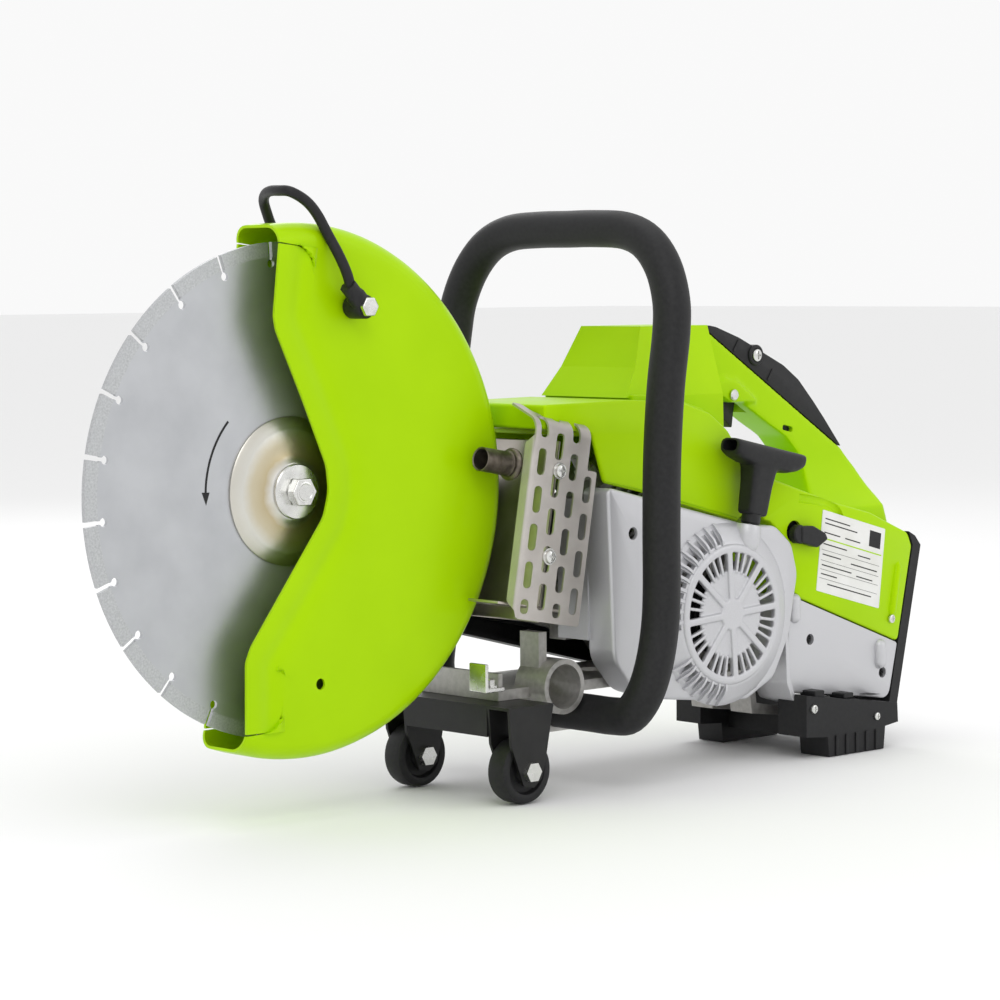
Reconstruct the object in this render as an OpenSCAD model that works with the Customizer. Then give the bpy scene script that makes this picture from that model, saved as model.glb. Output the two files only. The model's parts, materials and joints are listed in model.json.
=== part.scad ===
// Rescue saw: a petrol disc cutter with a water-fed diamond blade, built as separate pieces.
// +X points to the rear handle, +Y to the belt side, +Z up. The origin is on the ground,
// under the middle of the bounding box. All sizes are millimetres.

/* [Blade] */
// Blade diameter
blade_d = 350; // [345:1:352]
// Height of the blade axis above the ground
blade_z = 232; // [231:0.5:233]
// Distance of the blade axis in front of the origin
blade_ahead = 220; // [219:0.5:221]
// Number of diamond segments
segment_count = 24; // [18:1:28]
// Thickness of the steel core
core_t = 2.4; // [2:0.1:2.6]
// Thickness of the diamond segments
segment_t = 3.2; // [3:0.1:3.4]
// Diameter of the blade flanges
flange_d = 105; // [96:1:108]

/* [Guard] */
// Outer radius of the blade guard
guard_r = 188; // [187:0.5:189]
// Outside width of the guard
guard_w = 48; // [47:0.5:48.5]
// Sheet thickness of the guard
guard_t = 2; // [1.6:0.1:2.2]
// Radius of the rolled corner between the rim and the side walls
guard_corner = 12; // [9:0.5:13]
// Diameter of the water hose
hose_d = 7.5; // [6:0.5:8]

/* [Drive] */
// Horizontal place of the crankshaft
crank_x = 148.5; // [148:0.5:149]
// Height of the crankshaft
crank_z = 122.7; // [122:0.1:123.5]
// Pitch radius of the pulley on the spindle
driven_r = 55; // [53:0.5:56]
// Pitch radius of the pulley on the clutch drum
drive_r = 28; // [26:0.5:29]
// Running clearance of the shafts, on the radius
run_fit = 0.05; // [0.03:0.01:0.08]

/* [Handles] */
// Diameter of the rubber-covered front handle
bar_d = 28; // [26:0.5:29]
// Distance of the front handle's legs from the middle plane
bar_y = 118; // [116:1:119]
// Height of the front handle's top centre line
bar_top = 417; // [412:1:420]
// Half width of the rear handle
grip_half = 17; // [15:0.5:18]

/* [Base] */
// Bore diameter of the cast boss at the front of the base
boss_bore_d = 33.2; // [32:0.2:34]
// Length of the cast boss
boss_len = 32; // [28:1:34]
// Transport wheel diameter
wheel_d = 48; // [46:1:48]
// Transport wheel width
wheel_w = 18; // [16:1:18]

/* [Hidden] */
$fn = 64;

blade_x = -blade_ahead;
blade_r = blade_d / 2;
segment_h = 10.5;
// Half the gap between two segments, in degrees
segment_gap = 0.6;
slot_end_r = blade_r - 15;
slot_w = 2.6;
// Angle of the first slot above the horizontal
first_slot = 94.7;
arbor_r = 10;
bolt_r = 5;
flange_out_y = -9;
flange_in_y = 8;

// Outline of the guard's front opening, from the top lip to the bottom lip, about the blade axis.
guard_mouth = [
    [-21, 193], [-29, 123], [-27, 113], [-4, 65], [17, 18], [19, 0], [14, -18],
    [-52, -104], [-57, -115], [-58, -193],
];
boss_r = 30;
bearing_r = 21;
retainer_r = 38;
arm_y0 = 28;
arm_y1 = 40;
belt_y0 = 43;
belt_y1 = 54;
belt_t = 4;
belt_gap = 0.3;
cover_y1 = 61;
belt_length = norm([crank_x - blade_x, crank_z - blade_z]);
belt_tilt = atan2(crank_z - blade_z, crank_x - blade_x);

crank_r = 7;
cavity_r = 37;
case_r = 43;
cyl_y = -3;
cyl_tilt = 35;
deck_h = 47;
piston_r = 23;
piston_mid = 84;

// Silencer and its heat shield
shield_x = -42;
shield_z = 281;
lean = 10;
shield_y = -70;
shield_w = 66;
shield_h = 148;
slot_pitch = 27.5;
shield_screw_x = 27;
shield_screw_z = [-37, -100];

// Outlines in X and Z. They run clockwise as seen with X to the right and Z up.
starter_outline = [
    [24, 226], [178, 189], [210, 186], [226, 172], [234, 148], [224, 100], [206, 68],
    [176, 54], [141, 56], [78, 63], [52, 71], [30, 96],
];
top_outline = [
    [-28, 288], [60, 289], [116, 286], [148, 276], [168, 262], [181, 245], [190, 222],
    [191, 200], [178, 191.5], [73, 219], [33, 228], [20, 266], [-28, 270],
];
filter_outline = [
    [72, 289.6], [88, 312], [102, 343], [176, 343], [179, 287], [180, 251.3],
    [169.5, 264], [149, 277.8], [116.4, 287.2], [90, 289.4],
];
rear_outline = [
    [205, 226], [250, 212], [290, 200], [332, 190], [379, 171], [384, 160], [366.5, 83],
    [248, 126.5], [239, 133], [238, 148], [230, 175], [212, 189.5], [205, 191],
];
casing_outline = [[237, 130], [247.5, 125.5], [366, 82], [355, 37], [236, 53], [230, 60]];
tank_outline = [[246, 116], [352, 80], [346, 52], [244, 64]];
handle_outline = [
    [176.5, 341], [190, 339.7], [347.4, 242.4], [352, 240], [368, 223], [384, 198],
    [391, 179], [392, 169.3], [380.5, 172], [332, 191.6], [303, 198.6], [304.5, 215],
    [304.5, 226], [300, 237.5], [285, 251.7], [265, 262.3], [240, 276.5], [232.7, 281],
    [229, 291], [198, 292], [198, 300.3], [178.7, 300.3],
];
lens_outline = [[198.7, 296], [211, 300], [225, 298], [249.3, 280.6], [218, 281], [207.5, 286]];
insert_outline = [
    [190, 340.1], [194, 342.5], [203, 341], [230, 332], [246, 325], [282, 309], [300, 297],
    [318, 279], [331, 265], [352, 241], [347.6, 242.8],
];
foot_outline = [[238, 51], [348, 35.5], [349, 20], [333, 18], [331, 0], [265, 0], [263, 16], [238, 18]];

// Recoil starter
ring_y = -85;
ring_r = 53;
rope_y = -79;
rope_lean = 12;
rope_x = 174;
rope_z = 190;
rope_r = 1.75;

// Controls
choke_x = 240;
choke_z = 178;
trigger_x = 219;
trigger_z = 287;
lock_x = 286;
lock_z = 301;

// Base and wheels
deck_z = 79.7;
axle_x = -61.6;
axle_z = wheel_d / 2;
near_wheel_y = -68;
far_wheel_y = 46;

// Water hose along its own route: a banjo fitting on each side of the guard, over the rim between them.
hose_route = [
    [-190, -38, 366], [-194, -38, 382], [-198, -34, 396], [-203, -27, 412], [-211, -25, 426], [-221, -25, 435],
    [-232, -22, 441], [-233, -10, 442], [-229, 4, 442], [-222, 18, 440], [-216, 27, 435], [-210, 30, 425],
    [-203, 32, 412], [-198, 36, 396], [-194, 38, 382], [-190, 38, 366],
];

// Centre line of half the front handle, from the clamp under the base to the middle of the top.
half_bar = [
    [20, 4, 57], [20, 30, 57], [20, 60, 57], [20, bar_y - 34, 57], [19, bar_y - 16, 60], [22, bar_y - 4, 76],
    [28, bar_y, 98], [34, bar_y, 124], [36, bar_y, 152], [36, bar_y, 200], [37, bar_y, 250], [41, bar_y, 300],
    [47, bar_y, 340], [50, bar_y - 3, 364], [53, bar_y - 14, 388], [55, bar_y - 32, 406], [56, 62, bar_top - 2],
    [56, 30, bar_top], [56, 0, bar_top],
];

function mirrored(path) = [for (i = [len(path) - 1:-1:0]) [path[i].x, -path[i].y, path[i].z]];
function catmull(a, b, c, d, t) =
    0.5 * (2 * b + (c - a) * t + (2 * a - 5 * b + 4 * c - d) * t * t + (3 * b - 3 * c + d - a) * t * t * t);
function smooth(p, steps) = [
    for (i = [0:len(p) - 2]) for (s = [0:steps - 1])
        catmull(p[max(i - 1, 0)], p[i], p[i + 1], p[min(i + 2, len(p) - 1)], s / steps),
    p[len(p) - 1],
];
function unit(v) = v / norm(v);
function tangent(p, i) = unit(p[min(i + 1, len(p) - 1)] - p[max(i - 1, 0)]);
// Carries one normal along the path, so that the tube never twists.
function normals(p, i, n) =
    i == len(p) ? [] : let (t = tangent(p, i), m = unit(n - (n * t) * t)) concat([m], normals(p, i + 1, m));

// A round tube along a list of points.
module tube(path, r, sides, start_normal) {
    n = normals(path, 0, start_normal);
    rings = [
        for (i = [0:len(path) - 1]) let (t = tangent(path, i), b = cross(t, n[i]))
            for (k = [0:sides - 1]) path[i] + r * (cos(360 * k / sides) * n[i] + sin(360 * k / sides) * b),
    ];
    last = (len(path) - 1) * sides;
    polyhedron(rings, concat(
        [[for (k = [0:sides - 1]) k]],
        [for (i = [0:len(path) - 2]) for (k = [0:sides - 1])
            [i * sides + k, (i + 1) * sides + k,
             (i + 1) * sides + (k + 1) % sides, i * sides + (k + 1) % sides]],
        [[for (k = [sides - 1:-1:0]) last + k]]
    ));
}

// Extrudes an outline drawn in X and Z between two places along Y.
module slab(y0, y1) translate([0, y1, 0]) rotate([90, 0, 0]) linear_extrude(y1 - y0)
    children();
// A cylinder along Y.
module rod(x, z, y0, y1, r) translate([x, y1, z]) rotate([90, 0, 0]) cylinder(r = r, h = y1 - y0);
// A ring along Y.
module ring(x, z, y0, y1, r_out, r_in) difference() {
    rod(x, z, y0, y1, r_out);
    rod(x, z, y0 - 1, y1 + 1, r_in);
}
// A hexagon along Y, with its size across the flats.
module hex(x, z, y0, y1, flats) translate([x, y1, z]) rotate([90, 0, 0])
    cylinder(d = flats / cos(30), h = y1 - y0, $fn = 6);
module box(x0, x1, y0, y1, z0, z1) translate([x0, y0, z0]) cube([x1 - x0, y1 - y0, z1 - z0]);
module at_blade() translate([blade_x, 0, blade_z]) children();
module at_crank() translate([crank_x, 0, crank_z]) children();
// Points along an arc, from the angle a0 to the angle a1.
function arc(centre, r, a0, a1, steps) =
    [for (i = [0:steps]) centre + r * [cos(a0 + (a1 - a0) * i / steps), sin(a0 + (a1 - a0) * i / steps)]];
// Two circles joined by their outer tangents, the big one at the blade axis, drawn in X and Z.
module strap_outline(r_blade, r_crank) {
    a = acos((r_blade - r_crank) / belt_length);
    translate([blade_x, blade_z]) rotate(belt_tilt)
        polygon(concat(arc([0, 0], r_blade, a, 360 - a, 40), arc([belt_length, 0], r_crank, -a, a, 32)));
}

// ---- Blade and spindle ----
module blade_core() color("silver") difference() {
    rod(blade_x, blade_z, -core_t / 2, core_t / 2, blade_r - segment_h);
    rod(blade_x, blade_z, -core_t, core_t, arbor_r);
    at_blade() for (i = [0:segment_count - 1]) rotate([0, -first_slot - i * 360 / segment_count, 0]) {
        rotate([90, 0, 0]) translate([slot_end_r, 0, -core_t]) cylinder(r = 3, h = 2 * core_t, $fn = 24);
        translate([slot_end_r, -core_t, -slot_w / 2]) cube([blade_r, 2 * core_t, slot_w]);
    }
}
module blade_segments() color("gainsboro") at_blade() for (i = [0:segment_count - 1])
    rotate([0, -first_slot - segment_gap - i * 360 / segment_count, 0]) rotate([90, 0, 0])
        translate([0, 0, -segment_t / 2])
            rotate_extrude(angle = 360 / segment_count - 2 * segment_gap, $fn = 96)
            translate([blade_r - segment_h, 0]) square([segment_h, segment_t]);
module outer_flange() color("darkgray") at_blade() rotate([90, 0, 0]) rotate_extrude()
    polygon([
        [arbor_r, core_t / 2], [flange_d / 2 - 8, core_t / 2 + 1.2], [flange_d / 2 - 8, core_t / 2],
        [flange_d / 2, core_t / 2], [flange_d / 2, 3], [flange_d / 2 - 9, 6], [24, 6.5], [20, -flange_out_y],
        [arbor_r, -flange_out_y],
    ]);
module inner_flange() color("darkgray") at_blade() rotate([-90, 0, 0]) rotate_extrude()
    polygon([
        [arbor_r, core_t / 2], [flange_d / 2, core_t / 2], [flange_d / 2, 4],
        [20, flange_in_y], [arbor_r, flange_in_y],
    ]);
module blade_washer() color("gainsboro") ring(blade_x, blade_z, flange_out_y - 3, flange_out_y, 19.5, bolt_r);
module blade_bolt() color("gainsboro") {
    hex(blade_x, blade_z, flange_out_y - 12, flange_out_y - 3, 19);
    rod(blade_x, blade_z, flange_out_y - 3, 13, bolt_r);
}
module spindle() color("silver") difference() {
    union() {
        rod(blade_x, blade_z, flange_out_y, belt_y1 + 4, arbor_r);
        rod(blade_x, blade_z, flange_in_y, 17, 14);
    }
    rod(blade_x, blade_z, flange_out_y - 1, 13, bolt_r);
}
module driven_pulley() color("dimgray") difference() {
    union() {
        ring(blade_x, blade_z, belt_y0, belt_y1 - 0.5, driven_r, driven_r - 6);
        ring(blade_x, blade_z, 46, 50, driven_r - 5, arbor_r);
        ring(blade_x, blade_z, belt_y0 - 1, belt_y1, 18, arbor_r);
    }
    for (a = [0:60:300]) rod(blade_x + 34 * cos(a), blade_z + 34 * sin(a), belt_y0 - 2, belt_y1 + 1, 9);
}
module spindle_bearings() color("silver") for (y = [18.5, 30])
    ring(blade_x, blade_z, y, y + 8, bearing_r - 0.02, arbor_r + run_fit);

// ---- Guard and water feed ----
module guard_section() difference() {
    union() {
        square([guard_r - guard_corner, guard_w / 2]);
        square([guard_r, guard_w / 2 - guard_corner]);
        translate([guard_r - guard_corner, guard_w / 2 - guard_corner]) circle(guard_corner);
    }
    square([guard_r - guard_corner, guard_w / 2 - guard_t]);
    square([guard_r - guard_t, guard_w / 2 - guard_corner]);
    translate([guard_r - guard_corner, guard_w / 2 - guard_corner]) circle(guard_corner - guard_t);
    translate([-50, -50]) square([50, 100]);
    translate([0, -50]) square([guard_r + 10, 50]);
}
module guard_half() rotate_extrude($fn = 128) guard_section();
module guard() color("yellowgreen") difference() {
    at_blade() rotate([90, 0, 0]) {
        guard_half();
        mirror([0, 0, 1]) guard_half();
    }
    at_blade() slab(-guard_w, guard_w)
        polygon(concat(guard_mouth, [[-guard_r - 20, -193], [-guard_r - 20, 193]]));
    rod(blade_x, blade_z, 0, guard_w, boss_r + run_fit);
    rod(blade_x + 9, blade_z - 135.5, -guard_w, 0, 4);
}
module guard_retainer() color("dimgray") ring(blade_x, blade_z, 18, 21.7, retainer_r, bearing_r);
module hose_fittings() for (s = [-1, 1]) {
    color("silver") hex(blade_x + 40, blade_z + 129, s > 0 ? 42 : -46, s > 0 ? 46 : -42, 14);
    color("black") difference() {
        union() {
            rod(blade_x + 40, blade_z + 129, s > 0 ? 24 : -42, s > 0 ? 42 : -24, 8);
            translate([blade_x + 40, s * 38, blade_z + 129]) rotate([0, -36, 0]) cylinder(r = 5.4, h = 12);
        }
        translate([blade_x + 40, s * 38, blade_z + 129]) rotate([0, -36, 0])
            translate([0, 0, 11.5]) cylinder(r = 6, h = 10);
    }
}
module water_hose() color("black") tube(smooth(hose_route, 3), hose_d / 2, 10, [1, 0, 0]);

// ---- Drive arm, belt and clutch ----
module drive_arm() color("darkgray") difference() {
    union() {
        slab(arm_y0, arm_y1) intersection() {
            strap_outline(40, 34);
            translate([blade_x - 60, 60]) square([crank_x - blade_x, 260]);
        }
        rod(blade_x, blade_z, 21.7, arm_y0 + 1, boss_r);
    }
    rod(blade_x, blade_z, 0, 60, bearing_r);
    at_crank() slab(20, 60) circle(49);
    // Lightening pockets on the belt face
    for (x = [-150, -85, -20]) translate([x, 0, crank_z + (x - crank_x) * tan(belt_tilt)])
        rod(0, 0, 34, 50, 18);
}
module belt_cover() color("dimgray") difference() {
    slab(arm_y1, cover_y1) strap_outline(68, 50);
    slab(arm_y1 - 1, cover_y1 - 2.5) strap_outline(65, 47);
    for (i = [0:5]) slab(50, 70)
        translate([blade_x + 70 + i * 26, blade_z - 21 - i * 7.7]) rotate(belt_tilt + 60)
        square([40, 7], center = true);
}
module drive_belt() color("black") difference() {
    slab(belt_y0 + 0.5, belt_y1 - 1) strap_outline(driven_r + belt_gap + belt_t, drive_r + belt_gap + belt_t);
    slab(belt_y0 - 1, belt_y1 + 1) strap_outline(driven_r + belt_gap, drive_r + belt_gap);
}
module clutch_drum() color("dimgray") difference() {
    union() {
        rod(crank_x, crank_z, 26, arm_y1, 40);
        rod(crank_x, crank_z, arm_y1, belt_y1, drive_r);
    }
    rod(crank_x, crank_z, 25, arm_y1 - 3, 37.5);
    rod(crank_x, crank_z, 25, 60, crank_r + run_fit);
}
module clutch_hub() color("gray") difference() {
    rod(crank_x, crank_z, 27, 35, 36.5);
    rod(crank_x, crank_z, 26, 36, crank_r);
    for (a = [0:120:240]) at_crank() rotate([0, a, 0]) box(10, 40, 26, 36, -1.5, 1.5);
}

// ---- Engine ----
module crankshaft() color("silver") {
    difference() {
        union() {
            rod(crank_x, crank_z, -68, -14, crank_r);
            rod(crank_x, crank_z, 8, 56, crank_r);
            rod(crank_x, crank_z, -14, -8, 30);
            rod(crank_x, crank_z, 2, 8, 30);
        }
        for (s = [-1, 1])
            at_crank() rotate([0, 90 - cyl_tilt, 0]) translate([s * 26, 0, 18]) box(-9, 9, -20, 20, -8, 14);
    }
    rod(crank_x - 17 * sin(cyl_tilt), crank_z + 17 * cos(cyl_tilt), -8, 2, 7);
}
module flywheel_fan() color("gray") difference() {
    union() {
        rod(crank_x, crank_z, -54, -50, 50);
        rod(crank_x, crank_z, -66, -50, 14);
        for (a = [0:24:336]) at_crank() rotate([0, a, 0]) box(24, 49, -65, -52, -1.2, 1.2);
    }
    rod(crank_x, crank_z, -67, -49, crank_r);
}
module main_bearings() color("silver") for (y = [-32, 13])
    ring(crank_x, crank_z, y, y + 9, 17, crank_r + run_fit);
// Shapes drawn with their Z axis along the inclined cylinder, from the crankshaft.
module along_cylinder() translate([crank_x, cyl_y, crank_z]) rotate([0, -cyl_tilt, 0]) children();
module crankcase() color("lightgray") difference() {
    union() {
        rod(crank_x, crank_z, -46, 22, case_r);
        along_cylinder() translate([-32, -30, 10]) cube([64, 55, deck_h - 10]);
        box(crank_x - 42, crank_x + 42, -46, 22, 80, crank_z);
        ring(crank_x, crank_z, 21, 41.5 - 1.7, 47, 43.2);
        ring(crank_x, crank_z, 21, 24, 47, 18);
        box(62, crank_x - 30, 10, arm_y0, crank_z - 20, crank_z + 24);
    }
    rod(crank_x, crank_z, -18, 12, cavity_r);
    rod(crank_x, crank_z, -60, 60, 12);
    for (y = [-32, 13]) rod(crank_x, crank_z, y, y + 9, 17);
    along_cylinder() cylinder(r = piston_r + run_fit, h = deck_h + 1);
    rod(crank_x, crank_z, 24, 60, 43.2);
}
module cylinder_fins() for (i = [0:7]) translate([-34, -30, 8 + i * 9.4]) cube([68, 58, 2.4]);
module engine_cylinder() color("darkgray") along_cylinder() translate([0, 0, deck_h]) difference() {
    union() {
        translate([-26, -26, 0]) cube([52, 52, 8]);
        cylinder(r = piston_r + 4, h = 84);
        cylinder_fins();
        translate([-40, -14, 32]) cube([20, 28, 18]);
        translate([20, -14, 26]) cube([20, 28, 18]);
    }
    translate([0, 0, -1]) cylinder(r = piston_r + run_fit, h = 73);
    translate([0, 0, 60]) cylinder(r = 5, h = 40);
    translate([-60, 0, 41]) rotate([0, 90, 0]) cylinder(r = 7, h = 60);
    translate([0, 0, 35]) rotate([0, 90, 0]) cylinder(r = 8, h = 60);
}
module piston() color("silver") along_cylinder() translate([0, 0, piston_mid]) difference() {
    translate([0, 0, -20]) cylinder(r = piston_r, h = 34);
    translate([0, 0, -21]) cylinder(r = piston_r - 4, h = 30);
}
module spark_plug() color("white") along_cylinder() translate([0, 0, deck_h + 73]) {
    cylinder(r = 5, h = 11);
    translate([0, 0, 11]) cylinder(r = 9, h = 6, $fn = 6);
    translate([0, 0, 17]) cylinder(r = 6, h = 14);
}
module carburettor() color("silver") difference() {
    union() {
        box(152, 180, -24, 16, 216, 248);
        rod(166, 232, 16, 24, 8);
    }
    translate([150, -3, 232]) rotate([0, 90, 0]) cylinder(r = 9, h = 50);
}
module intake_boot() color("black") difference() {
    hull() {
        translate([138, -3, 218]) rotate([0, 60, 0]) cylinder(r = 13, h = 1, $fn = 32);
        translate([151, -3, 232]) rotate([0, 90, 0]) cylinder(r = 13, h = 1, $fn = 32);
    }
    hull() {
        translate([136, -3, 217]) rotate([0, 60, 0]) cylinder(r = 9, h = 1, $fn = 32);
        translate([153, -3, 232]) rotate([0, 90, 0]) cylinder(r = 9, h = 1, $fn = 32);
    }
}

// ---- Exhaust ----
// The silencer leans back: shapes drawn with X to the rear and Z up along its front edge.
module leaned() translate([shield_x, 0, shield_z]) rotate([0, lean, 0]) children();
module muffler_body() color("tan") difference() {
    union() {
        leaned() {
            box(8, 62, -58, 18, -72, -14);
            box(-6, 62, -58, 18, -148, -72);
        }
    }
    // Room for the guard to swing past
    at_blade() slab(-28, 40) circle(guard_r + 4);
    // Hollow chamber
    leaned() box(14, 58, -54, 14, -144, -18);
}
module exhaust_stub() color("dimgray") leaned() translate([8, -40, -36]) rotate([0, -90, 0]) difference() {
    cylinder(r = 9, h = 32);
    translate([0, 0, 1]) cylinder(r = 7.4, h = 40);
}
module exhaust_pipe() color("dimgray") difference() {
    translate([18, -3, 196]) rotate([0, 78, 0]) cylinder(r = 13, h = 40);
    translate([17, -3, 196]) rotate([0, 78, 0]) cylinder(r = 10, h = 44);
    // Ends at the cylinder's flange
    along_cylinder() translate([-40, -30, 0]) cube([80, 60, 140]);
}
module obround(h) union() {
    translate([-4, -h / 2 + 4]) square([8, h - 8]);
    translate([0, h / 2 - 4]) circle(4);
    translate([0, 4 - h / 2]) circle(4);
}
module heat_shield() color("tan") leaned() difference() {
    union() {
        slab(shield_y, shield_y + 1.6) difference() {
            translate([0, -shield_h]) square([shield_w, shield_h]);
            translate([shield_w - 11, -33]) square([20, 40]);
        }
        box(0, 10, shield_y, -42, -1.6, 0);
        box(0, 1.6, shield_y, shield_y + 11, -140, -30);
    }
    for (col = [0:3], row = [0:4]) if (col < 3 || row > 0)
        slab(shield_y - 5, shield_y + 5)
            translate([9 + col * 16.5, (col % 2 == 0 ? -7 : -20.5) - row * slot_pitch])
            obround(19);
    // Short slots that end the first and the third column
    for (x = [9, 42]) slab(shield_y - 5, shield_y + 5) translate([x, -138]) obround(11);
    for (z = shield_screw_z) rod(shield_screw_x, z, shield_y - 5, shield_y + 5, 2.4);
}

// ---- Starter ----
// Moves every corner of an outline inwards, so that a wall keeps one thickness.
function inset(p, d) = [
    for (i = [0:len(p) - 1]) let (
        e0 = unit(p[i] - p[(i + len(p) - 1) % len(p)]), e1 = unit(p[(i + 1) % len(p)] - p[i]),
        n0 = [e0.y, -e0.x], n1 = [e1.y, -e1.x]
    ) p[i] + d * (n0 + n1) / (1 + n0 * n1),
];
module along_rope() translate([rope_x, rope_y, rope_z]) rotate([0, rope_lean, 0]) children();
module starter_cover() color("lightgray") difference() {
    union() {
        difference() {
            slab(-75, -47) polygon(starter_outline);
            slab(-72, -46) polygon(inset(starter_outline, 3));
        }
        box(27, 30, -50, -18, 110, 215);
        // Cone that carries the grille ring
        translate([crank_x, -72, crank_z]) rotate([90, 0, 0])
            cylinder(r1 = 68, r2 = ring_r + 3, h = -72 - ring_y - 2);
        rod(crank_x, crank_z, ring_y, -80, ring_r);
        // Rope outlet
        box(rope_x - 13, rope_x + 11, -89, -70, 164, 189);
    }
    // Hollow behind the grille
    translate([crank_x, -71.9, crank_z]) rotate([90, 0, 0]) cylinder(r1 = 65, r2 = ring_r, h = 10.1);
    rod(crank_x, crank_z, -73, -71, 62);
    // Eight groups of narrow windows
    for (a = [0:45:315], k = [-2:2]) at_crank() rotate([0, a + 22.5 + k * 6.6, 0])
        box(36, 47, ring_y - 1, -79, -1.5, 1.5);
    // Cooling slots in the cone
    for (a = [182:8:246]) at_crank() rotate([0, a, 0]) box(55, 70, -84, -72, -1.6, 1.6);
    for (a = [120:8:152]) at_crank() rotate([0, a, 0]) box(55, 70, -84, -72, -1.6, 1.6);
    along_rope() translate([0, 0, -125]) cylinder(r = 3, h = 140);
    for (p = [[50, 190], [213, 134], [182, 66]]) rod(p.x, p.y, -80, -60, 4);
    // Keeps clear of the leaning silencer
    leaned() box(-20, 65, -64, 30, -150, 0);
}
module recoil_pulley() color("dimgray") difference() {
    rod(crank_x, crank_z, -76.5, -68, 32);
    rod(crank_x, crank_z, -80, -60, 3 + run_fit);
    difference() {
        rod(crank_x, crank_z, -74.5, -70, 33);
        rod(crank_x, crank_z, -75, -69, 28);
    }
}
module starter_rope() color("white") along_rope()
    translate([0, 0, -108]) cylinder(r = rope_r, h = 116, $fn = 24);
module pull_handle() color("dimgray") along_rope() {
    difference() {
        union() {
            translate([-11, -8, 8]) cube([24, 17, 38]);
            hull() {
                translate([-27, -12, 44]) cube([60, 24, 1]);
                translate([-35, -9, 52]) cube([80, 18, 10]);
            }
        }
        cylinder(r = rope_r, h = 8.02);
    }
    difference() {
        translate([0, 0, 0.6]) cylinder(r = 7, h = 7.4);
        cylinder(r = rope_r, h = 9);
    }
}

// ---- Covers ----
module top_cover() color("yellowgreen") difference() {
    slab(-62, 47) polygon(top_outline);
    slab(-59.5, 44.5) polygon(inset(top_outline, 2.5));
    // Open at the bottom and at the back, between the side walls
    slab(-59.5, 44.5)
        polygon([[-25, 275], [-25, 262], [30, 215], [178, 170], [200, 190], [200, 222], [180, 222]]);
    // Opening for the filter
    box(92, 150, -30, 30, 260, 300);
    box(150, 186, -26, 20, 214, 252);
}
module tower_section() translate([60, 0, 0]) rotate([90, 0, 90]) linear_extrude(150)
    polygon([[-46, 240], [-46, 290], [-32, 344], [32, 344], [46, 290], [46, 240]]);
module filter_cover() color("yellowgreen") difference() {
    intersection() {
        slab(-46, 46) polygon(filter_outline);
        tower_section();
    }
    intersection() {
        slab(-43, 43) polygon(inset(filter_outline, 2.5));
        translate([0, 0, -3]) scale(0.995) tower_section();
    }
    slab(-29, 29) polygon([[95, 300], [150, 300], [150, 260], [95, 280]]);
}
module air_filter() color("ivory") difference() {
    translate([122, 0, 290]) cylinder(r = 22, h = 40);
    translate([122, 0, 289]) cylinder(r = 12, h = 36);
}
module rear_cover() color("yellowgreen") difference() {
    slab(-65, 50) polygon(rear_outline);
    slab(-62.5, 47.5) polygon(inset(rear_outline, 2.5));
    slab(-62.5, 47.5) polygon([[245, 150], [364, 100], [362, 70], [245, 115]]);
    rod(choke_x, choke_z, -70, -55, 3 + run_fit);
    box(225.5, 238.5, 45, 55, 177, 207);
}
module rear_casing() color("lightgray") difference() {
    union() {
        slab(-65, 50) polygon(casing_outline);
        // Screw bosses
        for (p = [[240, 122], [343, 76]]) translate([p.x, -65, p.y - 14]) cylinder(r = 5, h = 22);
    }
    slab(-62, 47) polygon(inset(casing_outline, 3));
    slab(-62, 47) polygon([[245, 110], [245, 135], [364, 92], [360, 80]]);
    for (p = [[259, 93], [347, 59]]) rod(p.x, p.y, -70, -60, 4);
    rod(300, 84, 45, 55, 17);
}
module fuel_tank() color("white") difference() {
    union() {
        slab(-58, 43) polygon(tank_outline);
        rod(300, 84, 42, 54, 14);
    }
    slab(-55.5, 40.5) polygon(inset(tank_outline, 2.5));
    rod(300, 84, 39, 55, 11);
}
module fuel_cap() color("dimgray") difference() {
    union() {
        rod(300, 84, 54.3, 64, 19);
        for (a = [0:30:330]) rod(300 + 18.4 * cos(a), 84 + 18.4 * sin(a), 56, 64, 2.4);
        rod(300, 84, 46, 55, 10.6);
    }
    rod(300, 84, 45, 52, 8);
}
module back_strip() color("dimgray") slab(-65, 50)
    polygon([[380, 172], [388, 168], [395, 160], [365, 30], [355.4, 33], [366.4, 81], [385, 160.5]]);

// ---- Rear handle and controls ----
module rear_handle() color("yellowgreen") difference() {
    union() {
        slab(-grip_half, grip_half) polygon(handle_outline);
        slab(-grip_half - 3, grip_half + 3) polygon(lens_outline);
    }
    // Slot for the trigger
    slab(-7, 7) polygon([[190, 296], [236, 296], [248, 284], [248, 260], [190, 260]]);
    rod(trigger_x, trigger_z, -30, 30, 3);
    rod(286.5, 258.2, -30, 0, 3);
}
module grip_insert() color("dimgray") difference() {
    slab(-grip_half + 1, grip_half - 1) polygon(insert_outline);
    slab(-8.5, 8.5) polygon([[274, 320], [334, 300], [334, 255.5], [284, 286.5], [274, 300]]);
    rod(lock_x, lock_z, -30, 30, 2.5);
}
module trigger() color("dimgray") difference() {
    slab(-5.5, 5.5) polygon([
        [209, 288], [213, 293], [226, 292], [236, 281], [234.3, 272.8], [232.5, 259.4],
        [225.4, 265.8], [216.5, 271], [211, 282],
    ]);
    rod(trigger_x, trigger_z, -10, 10, 3 + run_fit);
}
module trigger_pin() color("gainsboro") {
    rod(trigger_x, trigger_z, -20, 20, 3);
    rod(trigger_x, trigger_z, -22, -20, 4.5);
    rod(lock_x, lock_z, -15, 15, 2.5);
}
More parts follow.
